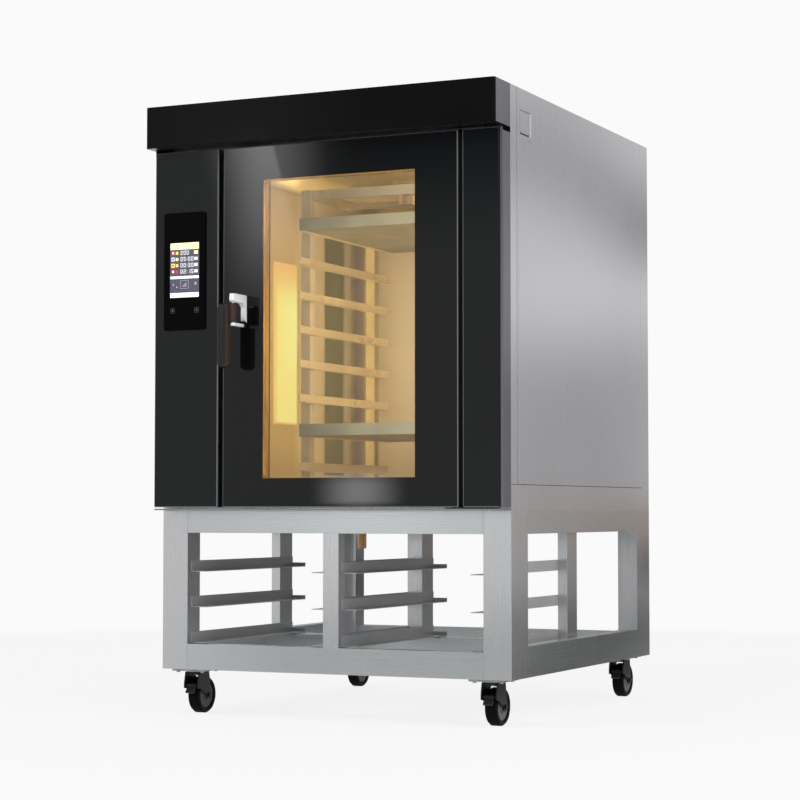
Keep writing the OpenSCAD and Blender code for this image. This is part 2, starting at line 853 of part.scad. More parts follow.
// Wool behind the cavity, cut out for the fan's shaft, the heaters and the water pipe
module wool_back() {
    y0 = cavity_back_y + sheet_t;
    x = cavity_r + sheet_t;
    difference() {
        box([-x, y0, cavity_z], [x, wool_back_y, cavity_top]);
        rod_y(fan_shaft_r + shaft_gap, 0, y0 - eps, wool_back_y + eps, fan_z);
        rod_y(pipe_r + pipe_gap, inlet_x, y0 - eps, wool_back_y + eps, inlet_z);
        heater_holes(y0 - eps, wool_back_y + eps);
    }
}

// Wool on the roof, cut out for the rack's bearing and the flue
module wool_roof() {
    x = cavity_r + sheet_t;
    z0 = cavity_top + sheet_t;
    difference() {
        box([-x, frame_d, z0], [x, cavity_back_y + sheet_t, wool_top]);
        rod_z(bearing_r + stub_gap, 0, rack_y, z0 - eps, wool_top + eps);
        rod_z(flue_outer + stub_gap, flue_x, flue_y, z0 - eps, wool_top + eps);
    }
}

// Wool between the base pan and the cavity floor, cut out for the drain
module wool_floor() {
    x = cavity_r + sheet_t;
    z0 = body_z + sheet_t;
    z1 = cavity_z - sheet_t;
    y0 = frame_d + seam + sheet_t;
    difference() {
        box([-x, y0, z0], [x, cavity_back_y, z1]);
        rod_z(drain_r + drain_gap, drain_x, drain_y, z0 - eps, z1 + eps);
    }
}

// ---------------------------------------------------------------- fan, heaters and lamps

// Radius of a ring, and the places of its legs as [x, z]
function ring_r(i) = heater_r + i * heater_step;
function leg_xz(i, side) =
    let (x = side * (heater_leg + i * heater_leg_step)) [x, fan_z - sqrt(pow(ring_r(i), 2) - pow(x, 2))];

module heater_holes(y0, y1) {
    for (i = [0:heaters - 1], side = [-1, 1]) {
        leg = leg_xz(i, side);
        rod_y(heater_leg_r + heater_gap, leg[0], y0, y1, leg[1]);
    }
}

// Ring heaters around the fan, each with two legs that pass outside the rings behind it
module heating_elements() {
    color([0.35, 0.33, 0.32]) centred()
    for (i = [0:heaters - 1]) {
        y = heater_y0 - i * heater_pitch;
        translate([0, y, fan_z]) rotate([90, 0, 0])
        rotate_extrude() translate([ring_r(i), 0]) circle(heater_tube_r, $fn=24);
        for (side = [-1, 1]) {
            leg = leg_xz(i, side);
            rod_y(heater_leg_r, leg[0], y, wool_back_y + heater_leg_l, leg[1]);
        }
    }
}

// Motor of the fan, with the bore for its shaft
module fan_motor() {
    color([0.3, 0.32, 0.35]) centred()
    difference() {
        union() {
            rod_y(fan_motor_r, 0, wool_back_y, wool_back_y + fan_motor_l, fan_z);
            box([-fan_motor_r, wool_back_y, fan_z - fan_motor_r],
                [fan_motor_r, wool_back_y + sheet_t + 4, fan_z + fan_motor_r]);
        }
        rod_y(fan_shaft_r + fit_gap, 0, wool_back_y - eps, wool_back_y + shaft_depth + 2, fan_z);
    }
}

// Radial fan: back plate, blades, front ring, hub and shaft
module fan_impeller() {
    color(bright_steel) centred() {
        rod_y(fan_r, 0, fan_y1 - fan_plate_t, fan_y1, fan_z);
        rod_y(fan_hub_r, 0, fan_y0, fan_y1 - fan_plate_t, fan_z);
        rod_y(fan_shaft_r, 0, fan_y1, wool_back_y + shaft_depth, fan_z);
        for (i = [0:fan_blades - 1])
            translate([0, fan_y0, fan_z]) rotate([0, i * 360 / fan_blades, 0])
            translate([fan_r * 0.42, 0, -blade_t / 2])
            cube([fan_r * 0.56, fan_d, blade_t]);
        translate([0, fan_y0, fan_z]) rotate([-90, 0, 0])
        difference() {
            cylinder(r=fan_r, h=fan_plate_t);
            translate([0, 0, -eps]) cylinder(r=fan_r - fan_ring_w, h=fan_plate_t + 2 * eps);
        }
    }
}

// Lamp housings in the side insulation, each with its lamp tube
module lamp_housings() {
    x0 = cavity_r + sheet_t;
    low = [rack_y - lamp_w / 2 - lamp_rim, lamp_z - lamp_rim];
    high = [rack_y + lamp_w / 2 + lamp_rim, lamp_z + lamp_h + lamp_rim];
    color(steel) centred()
    for (side = [-1, 1]) {
        outer = side * (x0 + lamp_d);
        inner = side * x0;
        difference() {
            box([min(outer, inner), low[0], low[1]], [max(outer, inner), high[0], high[1]]);
            box([min(outer + (side < 0 ? sheet_t : 0), inner - (side > 0 ? eps : 0)),
                 low[0] + sheet_t, low[1] + sheet_t],
                [max(outer - (side > 0 ? sheet_t : 0), inner + (side < 0 ? eps : 0)),
                 high[0] - sheet_t, high[1] - sheet_t]);
        }
        rod_z(lamp_tube_r, side * (x0 + lamp_d / 2), rack_y, low[1] + sheet_t, high[1] - sheet_t);
    }
}

// Lamp glasses, flush with the cavity walls
module lamp_glasses() {
    color(warm) centred()
    for (x = [-cavity_r - sheet_t, cavity_r])
        box([x, rack_y - lamp_w / 2, lamp_z], [x + sheet_t, rack_y + lamp_w / 2, lamp_z + lamp_h]);
}

// ---------------------------------------------------------------- rack

// Gearbox on the roof insulation with its motor lying beside it
module rack_gearmotor() {
    color([0.3, 0.32, 0.35]) centred()
    difference() {
        union() {
            box([-gearbox_w / 2, rack_y - gearbox_d / 2, wool_top],
                [gearbox_w / 2, rack_y + gearbox_d / 2, wool_top + gearbox_h]);
            rod_x(motor_r, -gearbox_w / 2 - motor_l, -gearbox_w / 2, rack_y, wool_top + motor_r);
        }
        rod_z(rack_shaft_r + fit_gap, 0, rack_y, wool_top - eps, wool_top + gearbox_h + eps);
    }
}

// Upper bearing in the cavity roof and lower bearing on the cavity floor
module rack_bearings() {
    color(steel) centred() {
        difference() {
            union() {
                rod_z(bearing_flange_r, 0, rack_y, cavity_top - bearing_flange_t, cavity_top);
                rod_z(bearing_r, 0, rack_y, cavity_top, wool_top);
            }
            rod_z(rack_shaft_r + fit_gap, 0, rack_y, cavity_top - bearing_flange_t - eps, wool_top + eps);
        }
        difference() {
            rod_z(bearing_r, 0, rack_y, cavity_z, rack_base_z - washer_t);
            rod_z(rack_pivot_r + fit_gap, 0, rack_y, cavity_z - eps, rack_base_z);
        }
    }
}

// Drive shaft above the rack and pivot pin below it
module rack_shaft() {
    color(bright_steel) centred() {
        rod_z(rack_shaft_r, 0, rack_y, rack_top_z, wool_top + gearbox_h + 6);
        rod_z(rack_pivot_r, 0, rack_y, cavity_z + washer_t, rack_base_z + rack_tube);
    }
}

// Frame of the rack: four uprights, an upper and a lower ring, and hubs for shaft and pivot
module rack_frame() {
    bar = 5;
    x = [rack_outer, rack_outer + rack_tube];
    y = rack_span / 2;
    color(bright_steel) centred() translate([0, rack_y, 0]) {
        for (sx = [-1, 1], sy = [-1, 1])
            tube([min(sx * x), sy * y - rack_tube / 2, rack_base_z],
                 [max(sx * x), sy * y + rack_tube / 2, rack_top_z + rack_tube], rail_t, 2);
        for (z = [rack_base_z, rack_top_z]) {
            for (sx = [-1, 1])
                box([min(sx * x[0], sx * (x[0] + bar)), -y + rack_tube / 2, z],
                    [max(sx * x[0], sx * (x[0] + bar)), y - rack_tube / 2, z + rack_tube]);
            for (sy = [-1, 1])
                box([-x[0], sy * y - bar / 2, z], [x[0], sy * y + bar / 2, z + rack_tube]);
        }
        rack_hub(rack_base_z, rack_pivot_r);
        rack_hub(rack_top_z, rack_shaft_r);
    }
}

// Cross bar of the rack with a hub that holds a pin of radius r
module rack_hub(z, r) {
    difference() {
        union() {
            box([-rack_outer, -rack_tube / 2, z], [rack_outer, rack_tube / 2, z + rack_tube / 2]);
            rod_z(rack_tube, 0, 0, z, z + rack_tube);
        }
        rod_z(r, 0, 0, z - eps, z + rack_tube + eps);
    }
}

// Angle rails, one pair a level
module rack_rails() {
    color(bright_steel) centred()
    for (i = [0:levels - 1], side = [-1, 1]) {
        z = level_z(i);
        web = side * [rail_x, rack_outer];
        flange = side * [rail_x - rail_flange, rack_outer];
        box([min(web), rack_y - rail_l / 2, z], [max(web), rack_y + rail_l / 2, z + rail_h]);
        box([min(flange), rack_y - rail_l / 2, z], [max(flange), rack_y + rail_l / 2, z + rail_t]);
    }
}

// Open tray on the rails of one level
module tray(level) {
    z = level_z(level) + rail_t + tray_rest;
    low = [-tray_w / 2, rack_y - tray_l / 2, z];
    high = [tray_w / 2, rack_y + tray_l / 2, z + tray_h];
    difference() {
        box(low, high);
        box(low + [tray_t, tray_t, tray_t], high + [-tray_t, -tray_t, eps]);
    }
}

module tray_upper() {
    color([0.6, 0.6, 0.58]) centred() tray(upper_tray_level);
}

module tray_lower() {
    color([0.6, 0.6, 0.58]) centred() tray(lower_tray_level);
}

// ---------------------------------------------------------------- services

// Steam flue from the cavity roof through the body's roof, with its flange and a spigot on top
module flue_collar() {
    color(steel) centred()
    difference() {
        union() {
            rod_z(flue_outer, flue_x, flue_y, cavity_top, spigot_z);
            rod_z(flue_r + flue_t, flue_x, flue_y, spigot_z, body_top + flue_h);
            rod_z(flue_outer + flue_flange_w, flue_x, flue_y, body_top, body_top + sheet_t);
        }
        rod_z(flue_r, flue_x, flue_y, cavity_top - eps, body_top + flue_h + eps);
        rod_x(damper_axle_r + fit_gap, flue_x - flue_outer - eps, flue_x + flue_outer + eps, flue_y, damper_z);
    }
}

// Round damper in the flue, with its axle and the lever beside the flue
module damper_flap() {
    color(bright_steel) centred() {
        rod_z(flue_r - damper_gap, flue_x, flue_y, damper_z - damper_t / 2, damper_z + damper_t / 2);
        rod_x(damper_axle_r, flue_x - flue_outer - 4, flue_x + flue_outer + 12, flue_y, damper_z);
        box([flue_x + flue_outer + 4, flue_y - damper_axle_r, damper_z],
            [flue_x + flue_outer + 8, flue_y + damper_axle_r, damper_z + damper_arm]);
    }
}

// Water valve: threaded stub and flange behind the back panel, block inside, pipe to the fan
module water_valve() {
    block_y = body_d - sheet_t - valve_l;
    color("peru") centred() {
        rod_y(inlet_r, inlet_x, body_d - sheet_t, body_d + stub_l, inlet_z);
        rod_y(inlet_r + 8, inlet_x, body_d, body_d + 4, inlet_z);
        box([inlet_x - valve_size / 2, block_y, inlet_z - valve_size / 2],
            [inlet_x + valve_size / 2, body_d - sheet_t, inlet_z + valve_size / 2]);
        rod_y(pipe_r, inlet_x, cavity_back_y - pipe_end, block_y, inlet_z);
    }
}

// Drain pipe from the cavity floor down below the body, with a flange under the base pan
module drain_pipe() {
    color("peru") centred()
    difference() {
        union() {
            rod_z(drain_r, drain_x, drain_y, body_z - drain_l, cavity_z - sheet_t);
            rod_z(drain_r + drain_flange_w, drain_x, drain_y, body_z - drain_flange_t, body_z);
        }
        rod_z(drain_r - drain_wall, drain_x, drain_y, body_z - drain_l - eps, cavity_z - sheet_t + eps);
    }
}

// Cable gland for the mains cable in the back panel
module cable_gland() {
    outer = gland_r + gland_wall;
    color([0.15, 0.15, 0.16]) centred()
    difference() {
        union() {
            rod_y(outer, gland_x, body_d - sheet_t - gland_in, body_d + gland_out, gland_z);
            rod_y(outer + 5, gland_x, body_d, body_d + 6, gland_z);
        }
        rod_y(gland_r, gland_x, body_d - sheet_t - gland_in - eps, body_d + gland_out + eps, gland_z);
    }
}

// ---------------------------------------------------------------- door

// Steel frame of the door: a hollow box round the window, with blocks for the hinge pins
module door_frame() {
    front = door_front + glass_t;
    slot = bolt_t / 2 + face_gap;
    color(charcoal) centred()
    difference() {
        union() {
            difference() {
                box([door_x0, front, panel_z], [door_x1, door_back, panel_top]);
                difference() {
                    box([door_x0 + sheet_t, front + sheet_t, panel_z + sheet_t],
                        [door_x1 - sheet_t, door_back - sheet_t, panel_top - sheet_t]);
                    box([window_x0 - sheet_t, front, window_z - sheet_t],
                        [window_x0 + window_w + sheet_t, door_back, window_z + window_h + sheet_t]);
                }
            }
            for (z = [panel_z + sheet_t, panel_top - sheet_t - hinge_pin_l])
                box([hinge_x - hinge_block, front + sheet_t, z],
                    [door_x1 - sheet_t, door_back - sheet_t, z + hinge_pin_l]);
        }
        box([window_x0, front - eps, window_z],
            [window_x0 + window_w, door_back + eps, window_z + window_h]);
        for (z = [panel_z - eps, panel_top - hinge_pin_l])
            rod_z(hinge_pin_r + fit_gap, hinge_x, hinge_y, z, z + hinge_pin_l + eps);
        // air slots in the lower and upper edges
        for (z = [panel_z - eps, panel_top - sheet_t - eps])
            box([window_x0, front + door_t / 3, z],
                [window_x0 + window_w, front + door_t / 2, z + sheet_t + 2 * eps]);
        box([door_x0 - eps, bolt_y - slot, bolt_z - bolt_h / 2 - face_gap],
            [door_x0 + sheet_t + eps, bolt_y + slot, bolt_z + bolt_h / 2 + face_gap]);
    }
}

// Full-size outer glass, over the frame and the window
module door_outer_glass() {
    color(dark_clear) centred()
    box([door_x0, door_front, panel_z], [door_x1, door_front + glass_t, panel_top]);
}

// Inner glass in the window
module door_inner_glass() {
    color(clear) centred()
    box([window_x0, door_back - sheet_t - glass_t, window_z],
        [window_x0 + window_w, door_back - sheet_t, window_z + window_h]);
}

// Silicone seal on the back of the door, round the mouth of the cavity
module door_seal() {
    gap = 4;
    inner_low = [mouth_x0 - gap, cavity_z - gap];
    inner_high = [mouth_x1 + gap, cavity_top + gap];
    color([0.2, 0.2, 0.2]) centred()
    difference() {
        box([inner_low[0] - seal_w, door_back, inner_low[1] - seal_w],
            [inner_high[0] + seal_w, door_back + seal_t, inner_high[1] + seal_w]);
        box([inner_low[0], door_back - eps, inner_low[1]],
            [inner_high[0], door_back + seal_t + eps, inner_high[1]]);
    }
}

// Upper and lower hinge brackets on the body, each with its pin
module hinge_brackets() {
    low = panel_z - washer_t - bracket_t;
    high = panel_top + washer_t;
    color([0.2, 0.2, 0.2]) centred() {
        for (z = [low, high])
            box([hinge_x - bracket_inner, door_front + bracket_front, z],
                [hinge_x + bracket_side, 0, z + bracket_t]);
        rod_z(hinge_pin_r, hinge_x, hinge_y, low + bracket_t, panel_z + hinge_pin_l - washer_t);
        rod_z(hinge_pin_r, hinge_x, hinge_y, panel_top - hinge_pin_l + washer_t, high);
    }
}

// Bracket of the handle: base plate, upper and lower arm, and the upright pin
module handle_bracket() {
    w = bracket_w / 2;
    color(chrome) centred() {
        box([pin_x - w, door_front - base_t, bracket_z], [pin_x + w, door_front, bracket_top]);
        box([pin_x - w, pin_y - arm_over, bracket_top - upper_arm_h],
            [pin_x + w, door_front - base_t, bracket_top]);
        box([pin_x - w, pin_y, bracket_z], [pin_x + w, door_front - base_t, bracket_z + lower_arm_h]);
        rod_z(w, pin_x, pin_y, bracket_z, bracket_z + lower_arm_h);
        rod_z(handle_pin_r, pin_x, pin_y, bracket_z + lower_arm_h, bracket_top - upper_arm_h);
    }
}

// Grip of the handle with the hub that turns on the bracket's pin
module handle_grip() {
    hub_z = bracket_z + lower_arm_h + 2;
    mid_x = (grip_x0 + grip_x1) / 2;
    mid_y = grip_front + grip_d / 2;
    r = grip_w / 2;
    color([0.07, 0.07, 0.07]) centred()
    difference() {
        union() {
            hull()
            for (z = [grip_z0 + r, grip_top - r])
                translate([mid_x, mid_y, z]) scale([1, grip_d / grip_w, 1]) sphere(r, $fn=small_fn);
            rod_z(hub_r - 2, pin_x, pin_y, hub_z, grip_top);
            box([mid_x, pin_y - hub_r + 3, hub_z], [pin_x, pin_y + hub_r - 3, grip_top - r / 2]);
        }
        rod_z(handle_pin_r + fit_gap, pin_x, pin_y, hub_z - eps, grip_top + eps);
    }
}

// Latch bolt that slides in the door's free edge
module latch_bolt() {
    color(steel) centred()
    box([door_x0 - bolt_out, bolt_y - bolt_t / 2, bolt_z - bolt_h / 2],
        [door_x0 + bolt_in, bolt_y + bolt_t / 2, bolt_z + bolt_h / 2]);
}

// ---------------------------------------------------------------- castors

// Plates under the stand, each with its race, kingpin, nut and bolt heads
module castor_plates() {
    top = castor_h;
    w = castor_plate_w / 2;
    color(steel) centred()
    for (sx = [-1, 1], end = [-1, 1])
        translate([sx * castor_x, castor_y(end), 0]) {
            box([-w, -w, top - plate_t], [w, w, top]);
            rod_z(race_r, 0, 0, top - plate_t - race_t, top - plate_t);
            rod_z(kingpin_r, 0, 0, crown_z - nut_h, top - plate_t - race_t);
            rod_z(nut_r, 0, 0, crown_z - nut_h, crown_z - race_gap);
            for (bx = [-1, 1], by = [-1, 1])
                rod_z(castor_bolt_r, bx * bolt_offset, by * bolt_offset,
                      top - plate_t - castor_bolt_h, top - plate_t);
        }
}

// Fork: crown on the kingpin, two legs with ears for the pedal's pin, and the axle
module castor_fork(sx, end) {
    outer = fork_inner + fork_t;
    color([0.14, 0.14, 0.15]) centred()
    translate([sx * castor_x, castor_y(end), 0])
    difference() {
        union() {
            box([-outer, -race_r + 4, crown_z], [outer, race_r - 4, crown_z + crown_t]);
            for (x = [-outer, fork_inner])
                translate([x, 0, 0]) rotate([90, 0, 90]) linear_extrude(fork_t) fork_leg();
            rod_x(axle_r, -outer - 4, outer + 4, castor_trail, wheel_r);
            rod_x(pedal_pin_r, -outer, outer, pedal_y, pedal_z);
        }
        rod_z(kingpin_r + fit_gap, 0, 0, crown_z - eps, crown_z + crown_t + eps);
    }
}

// Side view of a fork leg, as [y, z]
module fork_leg() {
    edge = race_r - 4;
    polygon([[-edge, crown_z + crown_t], [pedal_y - 7, pedal_z + 7], [pedal_y - 7, pedal_z - 7],
             [pedal_y + 7, pedal_z - 9], [castor_trail - boss_r, wheel_r], [castor_trail + boss_r, wheel_r],
             [edge + 4, crown_z - 12], [edge, crown_z + crown_t]]);
    translate([castor_trail, wheel_r]) circle(boss_r);
}

// Wheel with a tread and a recessed disc on each side
module castor_wheel(sx, end) {
    w = wheel_w / 2;
    recess = 4;
    color([0.12, 0.12, 0.12]) centred()
    translate([sx * castor_x, castor_y(end) + castor_trail, wheel_r]) rotate([0, 90, 0])
    rotate_extrude($fn=96)
    polygon([[axle_r + fit_gap, -w], [boss_r + 4, -w], [boss_r + 6, -w + recess],
             [wheel_r - 14, -w + recess], [wheel_r - 12, -w], [wheel_r - 4, -w], [wheel_r, -w + 5],
             [wheel_r, w - 5], [wheel_r - 4, w], [wheel_r - 12, w], [wheel_r - 14, w - recess],
             [boss_r + 6, w - recess], [boss_r + 4, w], [axle_r + fit_gap, w]]);
}

// Brake pedal: knuckle on its pin, plate with a tab, and a shoe beside the tread
module brake_pedal(sx, end) {
    reach = [castor_trail - pedal_y, wheel_r - pedal_z];
    shoe_l = norm(reach) - wheel_r - face_gap;
    plate_w = pedal_w - 2;
    root = pedal_pin_r + 1;
    color([0.2, 0.2, 0.2]) centred()
    translate([sx * castor_x, castor_y(end) + pedal_y, pedal_z])
    difference() {
        union() {
            rod_x(pedal_knuckle_r, -pedal_w / 2, pedal_w / 2, 0, 0);
            rotate([pedal_tilt, 0, 0])
            box([-plate_w / 2, -pedal_l, -pedal_t / 2], [plate_w / 2, -root, pedal_t / 2]);
            rotate([atan2(reach[1], reach[0]), 0, 0])
            box([-pedal_w / 4, root, -pedal_t / 2], [pedal_w / 4, shoe_l, pedal_t / 2]);
        }
        rod_x(pedal_pin_r + fit_gap, -pedal_w / 2 - eps, pedal_w / 2 + eps, 0, 0);
    }
}

module castor_fork_front_left() { castor_fork(-1, -1); }
module castor_fork_front_right() { castor_fork(1, -1); }
module castor_fork_rear_left() { castor_fork(-1, 1); }
module castor_fork_rear_right() { castor_fork(1, 1); }
module castor_wheel_front_left() { castor_wheel(-1, -1); }
module castor_wheel_front_right() { castor_wheel(1, -1); }
module castor_wheel_rear_left() { castor_wheel(-1, 1); }
module castor_wheel_rear_right() { castor_wheel(1, 1); }
module brake_pedal_front_left() { brake_pedal(-1, -1); }
module brake_pedal_front_right() { brake_pedal(1, -1); }
module brake_pedal_rear_left() { brake_pedal(-1, 1); }
module brake_pedal_rear_right() { brake_pedal(1, 1); }

// Plate in the XZ plane with rounded corners
module rounded_plate(x0, z0, w, h, y0, y1, r) {
    box([x0 + r, y0, z0], [x0 + w - r, y1, z0 + h]);
    box([x0, y0, z0 + r], [x0 + w, y1, z0 + h - r]);
    for (x = [x0 + r, x0 + w - r], z = [z0 + r, z0 + h - r])
        rod_y(r, x, y0, y1, z);
}

stand_posts();
stand_rails();
stand_runners();
base_panel();
side_panel_left();
side_panel_right();
back_panel();
roof_panel();
front_frame();
sill_strip();
fascia_hood();
fascia_front();
column_boxes();
column_glass();
touch_panel();
display();
cavity_sides();
cavity_back();
cavity_roof();
cavity_floor();
air_guide();
insulation();
fan_motor();
fan_impeller();
heating_elements();
lamp_housings();
lamp_glasses();
rack_gearmotor();
rack_bearings();
rack_shaft();
rack_frame();
rack_rails();
tray_upper();
tray_lower();
flue_collar();
damper_flap();
water_valve();
drain_pipe();
cable_gland();
door_frame();
door_outer_glass();
door_inner_glass();
door_seal();
hinge_brackets();
handle_bracket();
handle_grip();
latch_bolt();
castor_plates();
castor_fork_front_left();
castor_fork_front_right();
castor_fork_rear_left();
castor_fork_rear_right();
castor_wheel_front_left();
castor_wheel_front_right();
castor_wheel_rear_left();
castor_wheel_rear_right();
brake_pedal_front_left();
brake_pedal_front_right();
brake_pedal_rear_left();
brake_pedal_rear_right();
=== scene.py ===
# Looks of the rotating rack oven. Everything is in metres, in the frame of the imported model:
# +Z is up, the door faces -Y, and the origin is on the floor in the middle of the footprint.
import math

import bmesh
import bpy
from mathutils import Matrix, Vector


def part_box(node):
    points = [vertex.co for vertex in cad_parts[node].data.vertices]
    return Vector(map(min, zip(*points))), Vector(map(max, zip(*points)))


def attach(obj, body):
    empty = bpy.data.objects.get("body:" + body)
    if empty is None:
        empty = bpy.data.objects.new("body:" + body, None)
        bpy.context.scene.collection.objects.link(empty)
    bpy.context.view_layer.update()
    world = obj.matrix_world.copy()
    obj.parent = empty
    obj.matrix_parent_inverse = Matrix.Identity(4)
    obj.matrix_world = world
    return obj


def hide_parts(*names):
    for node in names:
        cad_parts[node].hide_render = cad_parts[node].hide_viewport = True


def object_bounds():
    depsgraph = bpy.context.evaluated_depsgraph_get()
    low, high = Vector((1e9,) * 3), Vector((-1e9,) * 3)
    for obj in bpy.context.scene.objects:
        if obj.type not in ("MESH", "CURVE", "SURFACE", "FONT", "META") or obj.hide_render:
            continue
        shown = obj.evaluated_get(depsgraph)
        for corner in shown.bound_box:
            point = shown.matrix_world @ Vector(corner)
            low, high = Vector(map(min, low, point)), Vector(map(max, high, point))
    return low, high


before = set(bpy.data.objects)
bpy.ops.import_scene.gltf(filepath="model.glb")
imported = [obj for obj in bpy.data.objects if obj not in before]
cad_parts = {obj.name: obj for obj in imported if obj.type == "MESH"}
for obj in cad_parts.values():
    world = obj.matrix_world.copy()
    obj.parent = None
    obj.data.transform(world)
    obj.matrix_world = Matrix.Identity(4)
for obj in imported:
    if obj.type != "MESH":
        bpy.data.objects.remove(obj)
cad_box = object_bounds()
scene = bpy.context.scene

MM = 0.001
CASTORS = ("front_left", "front_right", "rear_left", "rear_right")

# The photograph's viewpoint
CAMERA_PLACE = (2.616, -5.666, 0.563)
CAMERA_YAW = 25.03
CAMERA_PITCH = 2.91
CAMERA_LENS = 97.25
CAMERA_SENSOR = 36

# Strengths of light, as linear values
BACKGROUND = 0.956  # of the white background as the camera and reflections see it
WORLD_LIGHT = 0.55  # of the same background as a source of light
FLOOR_GLOW = 0.88  # share of the floor's look that is background, so that its shadows stay faint
FLOOR_FADE = (1.6, 4.5)  # distances where it starts to turn into background and where it has
LAMP_STRENGTH = 0.66
WARM = (1.0, 0.74, 0.36)  # colour of the cavity's lamps

# Brushed steel: scales of its grain's noise, and the depth of the grain's relief
ALONG_GRAIN = 4.0
ACROSS_GRAIN = 1600.0
GRAIN_DEPTH = 0.012 * MM

# Radii in a castor wheel's face
WHEEL_DISC = 36 * MM
WHEEL_TREAD = 48 * MM


# ---------------------------------------------------------------- building materials


class Look:
    """A procedural material. Its methods add nodes and return their output sockets."""

    def __init__(self, name):
        self.mat = bpy.data.materials.new(name)
        self.mat.use_nodes = True
        self.tree = self.mat.node_tree
        self.shader = self.tree.nodes["Principled BSDF"]
        self.place = self.add("ShaderNodeTexCoord").outputs["Object"]

    def add(self, kind, **settings):
        node = self.tree.nodes.new(kind)
        for key, value in settings.items():
            setattr(node, key, value)
        return node

    def connect(self, socket, value):
        """Links an output socket to an input, or sets the input to a plain value."""
        if isinstance(value, bpy.types.NodeSocket):
            self.tree.links.new(value, socket)
        elif socket.type == "RGBA" and len(value) == 3:
            socket.default_value = (*value, 1)
        else:
            socket.default_value = value

    def feed(self, node, **inputs):
        """Connects a node's inputs, with spaces in their names written as underscores."""
        for key, value in inputs.items():
            self.connect(node.inputs[key.replace("_", " ")], value)
        return node

    def set(self, **inputs):
        self.feed(self.shader, **inputs)
        return self

    def finish_with(self, shader_output):
        """Takes another shader than the first one as the material's surface."""
        self.connect(self.tree.nodes["Material Output"].inputs["Surface"], shader_output)

    def stretched(self, scale):
        node = self.add("ShaderNodeMapping")
        self.feed(node, Vector=self.place, Scale=scale)
        return node.outputs["Vector"]

    def noise(self, scale, detail=2.0, roughness=0.5, stretch=(1, 1, 1)):
        node = self.add("ShaderNodeTexNoise")
        self.feed(node, Vector=self.stretched(stretch), Scale=scale, Detail=detail, Roughness=roughness)
        return node.outputs["Fac"]

    def spread(self, value, low, high, start=0.3, end=0.7):
        """Maps start..end of a value to low..high."""
        node = self.add("ShaderNodeMapRange")
        self.feed(node, Value=value, From_Min=start, From_Max=end, To_Min=low, To_Max=high)
        return node.outputs["Result"]

    def blend(self, factor, first, second):
        node = self.add("ShaderNodeMix", data_type="RGBA")
        colours = [s for s in node.inputs if s.type == "RGBA"]
        factors = [s for s in node.inputs if s.name == "Factor" and s.type == "VALUE"]
        for socket, value in zip((factors[0], *colours), (factor, first, second)):
            self.connect(socket, value)
        return [s for s in node.outputs if s.type == "RGBA"][0]

    def maths(self, operation, first, second):
        node = self.add("ShaderNodeMath", operation=operation)
        for socket, value in zip(node.inputs, (first, second)):
            self.connect(socket, value)
        return node.outputs["Value"]

    def axes(self):
        node = self.add("ShaderNodeSeparateXYZ")
        self.feed(node, Vector=self.place)
        return node.outputs["X"], node.outputs["Y"], node.outputs["Z"]

    def reach(self):
        """Distance from the origin."""
        node = self.add("ShaderNodeVectorMath", operation="LENGTH")
        self.connect(node.inputs[0], self.place)
        return node.outputs["Value"]

    def within(self, value, low, high):
        """1 where the value lies between low and high, else 0."""
        above = self.maths("GREATER_THAN", value, low)
        below = self.maths("LESS_THAN", value, high)
        return self.maths("MULTIPLY", above, below)

    def soft(self, value, zero, one):
        """Smooth step from 0 at one value to 1 at another."""
        node = self.add("ShaderNodeMapRange", interpolation_type="SMOOTHSTEP")
        if zero > one:
            self.feed(node, Value=value, From_Min=one, From_Max=zero, To_Min=1.0, To_Max=0.0)
        else:
            self.feed(node, Value=value, From_Min=zero, From_Max=one, To_Min=0.0, To_Max=1.0)
        return node.outputs["Result"]

    def relief(self, height, strength, distance, edge=None):
        """Bumps in the surface, on top of hard edges softened to a radius, if that is given."""
        node = self.add("ShaderNodeBump")
        self.feed(node, Height=height, Strength=strength, Distance=distance)
        if edge:
            self.feed(node, Normal=self.rounded(edge))
        return node.outputs["Normal"]

    def rounded(self, radius):
        """Softens the look of hard edges, as a folded or ground edge catches the light."""
        node = self.add("ShaderNodeBevel", samples=4)
        self.feed(node, Radius=radius)
        return node.outputs["Normal"]


def shades(colour, share):
    """A darker and a paler colour, each off by a share."""
    dark = tuple(c * (1 - share) for c in colour)
    pale = tuple(min(1, c * (1 + share)) for c in colour)
    return dark, pale


def steel_look(
    name,
    colour,
    grain=(0, 0, 1),
    rough=0.32,
    cloud=0.1,
    cloud_size=2.2,
    edge=1.2 * MM,
    metal=1.0,
    smear=0.035,
    streak=0.1,
    rear=None,
):
    """Brushed stainless steel, with fine grain along one axis and broad soft clouds.

    grain marks the axes that run along the grain, smear is the unevenness of its roughness, streak
    the strength of its grain, and rear is a tint blended in towards the rear, given as its colour
    and the y places where it starts and where it is full.
    """
    look = Look(name)
    fine = look.noise(1.0, 3, 0.6, tuple(ALONG_GRAIN if along else ACROSS_GRAIN for along in grain))
    broad = look.noise(cloud_size, 2, 0.45)
    smudge = look.noise(9.0, 4, 0.6)
    base = look.blend(look.spread(broad, 0, 1, 0.35, 0.65), *shades(colour, cloud))
    base = look.blend(look.spread(fine, 0, 0.25, 0.35, 0.8), base, shades(colour, streak)[0])
    if rear:
        tint, start, end = rear
        base = look.blend(look.soft(look.axes()[1], start, end), base, tint)
    wear = look.maths(
        "ADD", look.spread(smudge, -smear, smear), look.spread(fine, rough - 0.03, rough + 0.04)
    )
    bump = look.relief(fine, streak, GRAIN_DEPTH, edge)
    return look.set(Base_Color=base, Roughness=wear, Metallic=metal, Normal=bump).mat


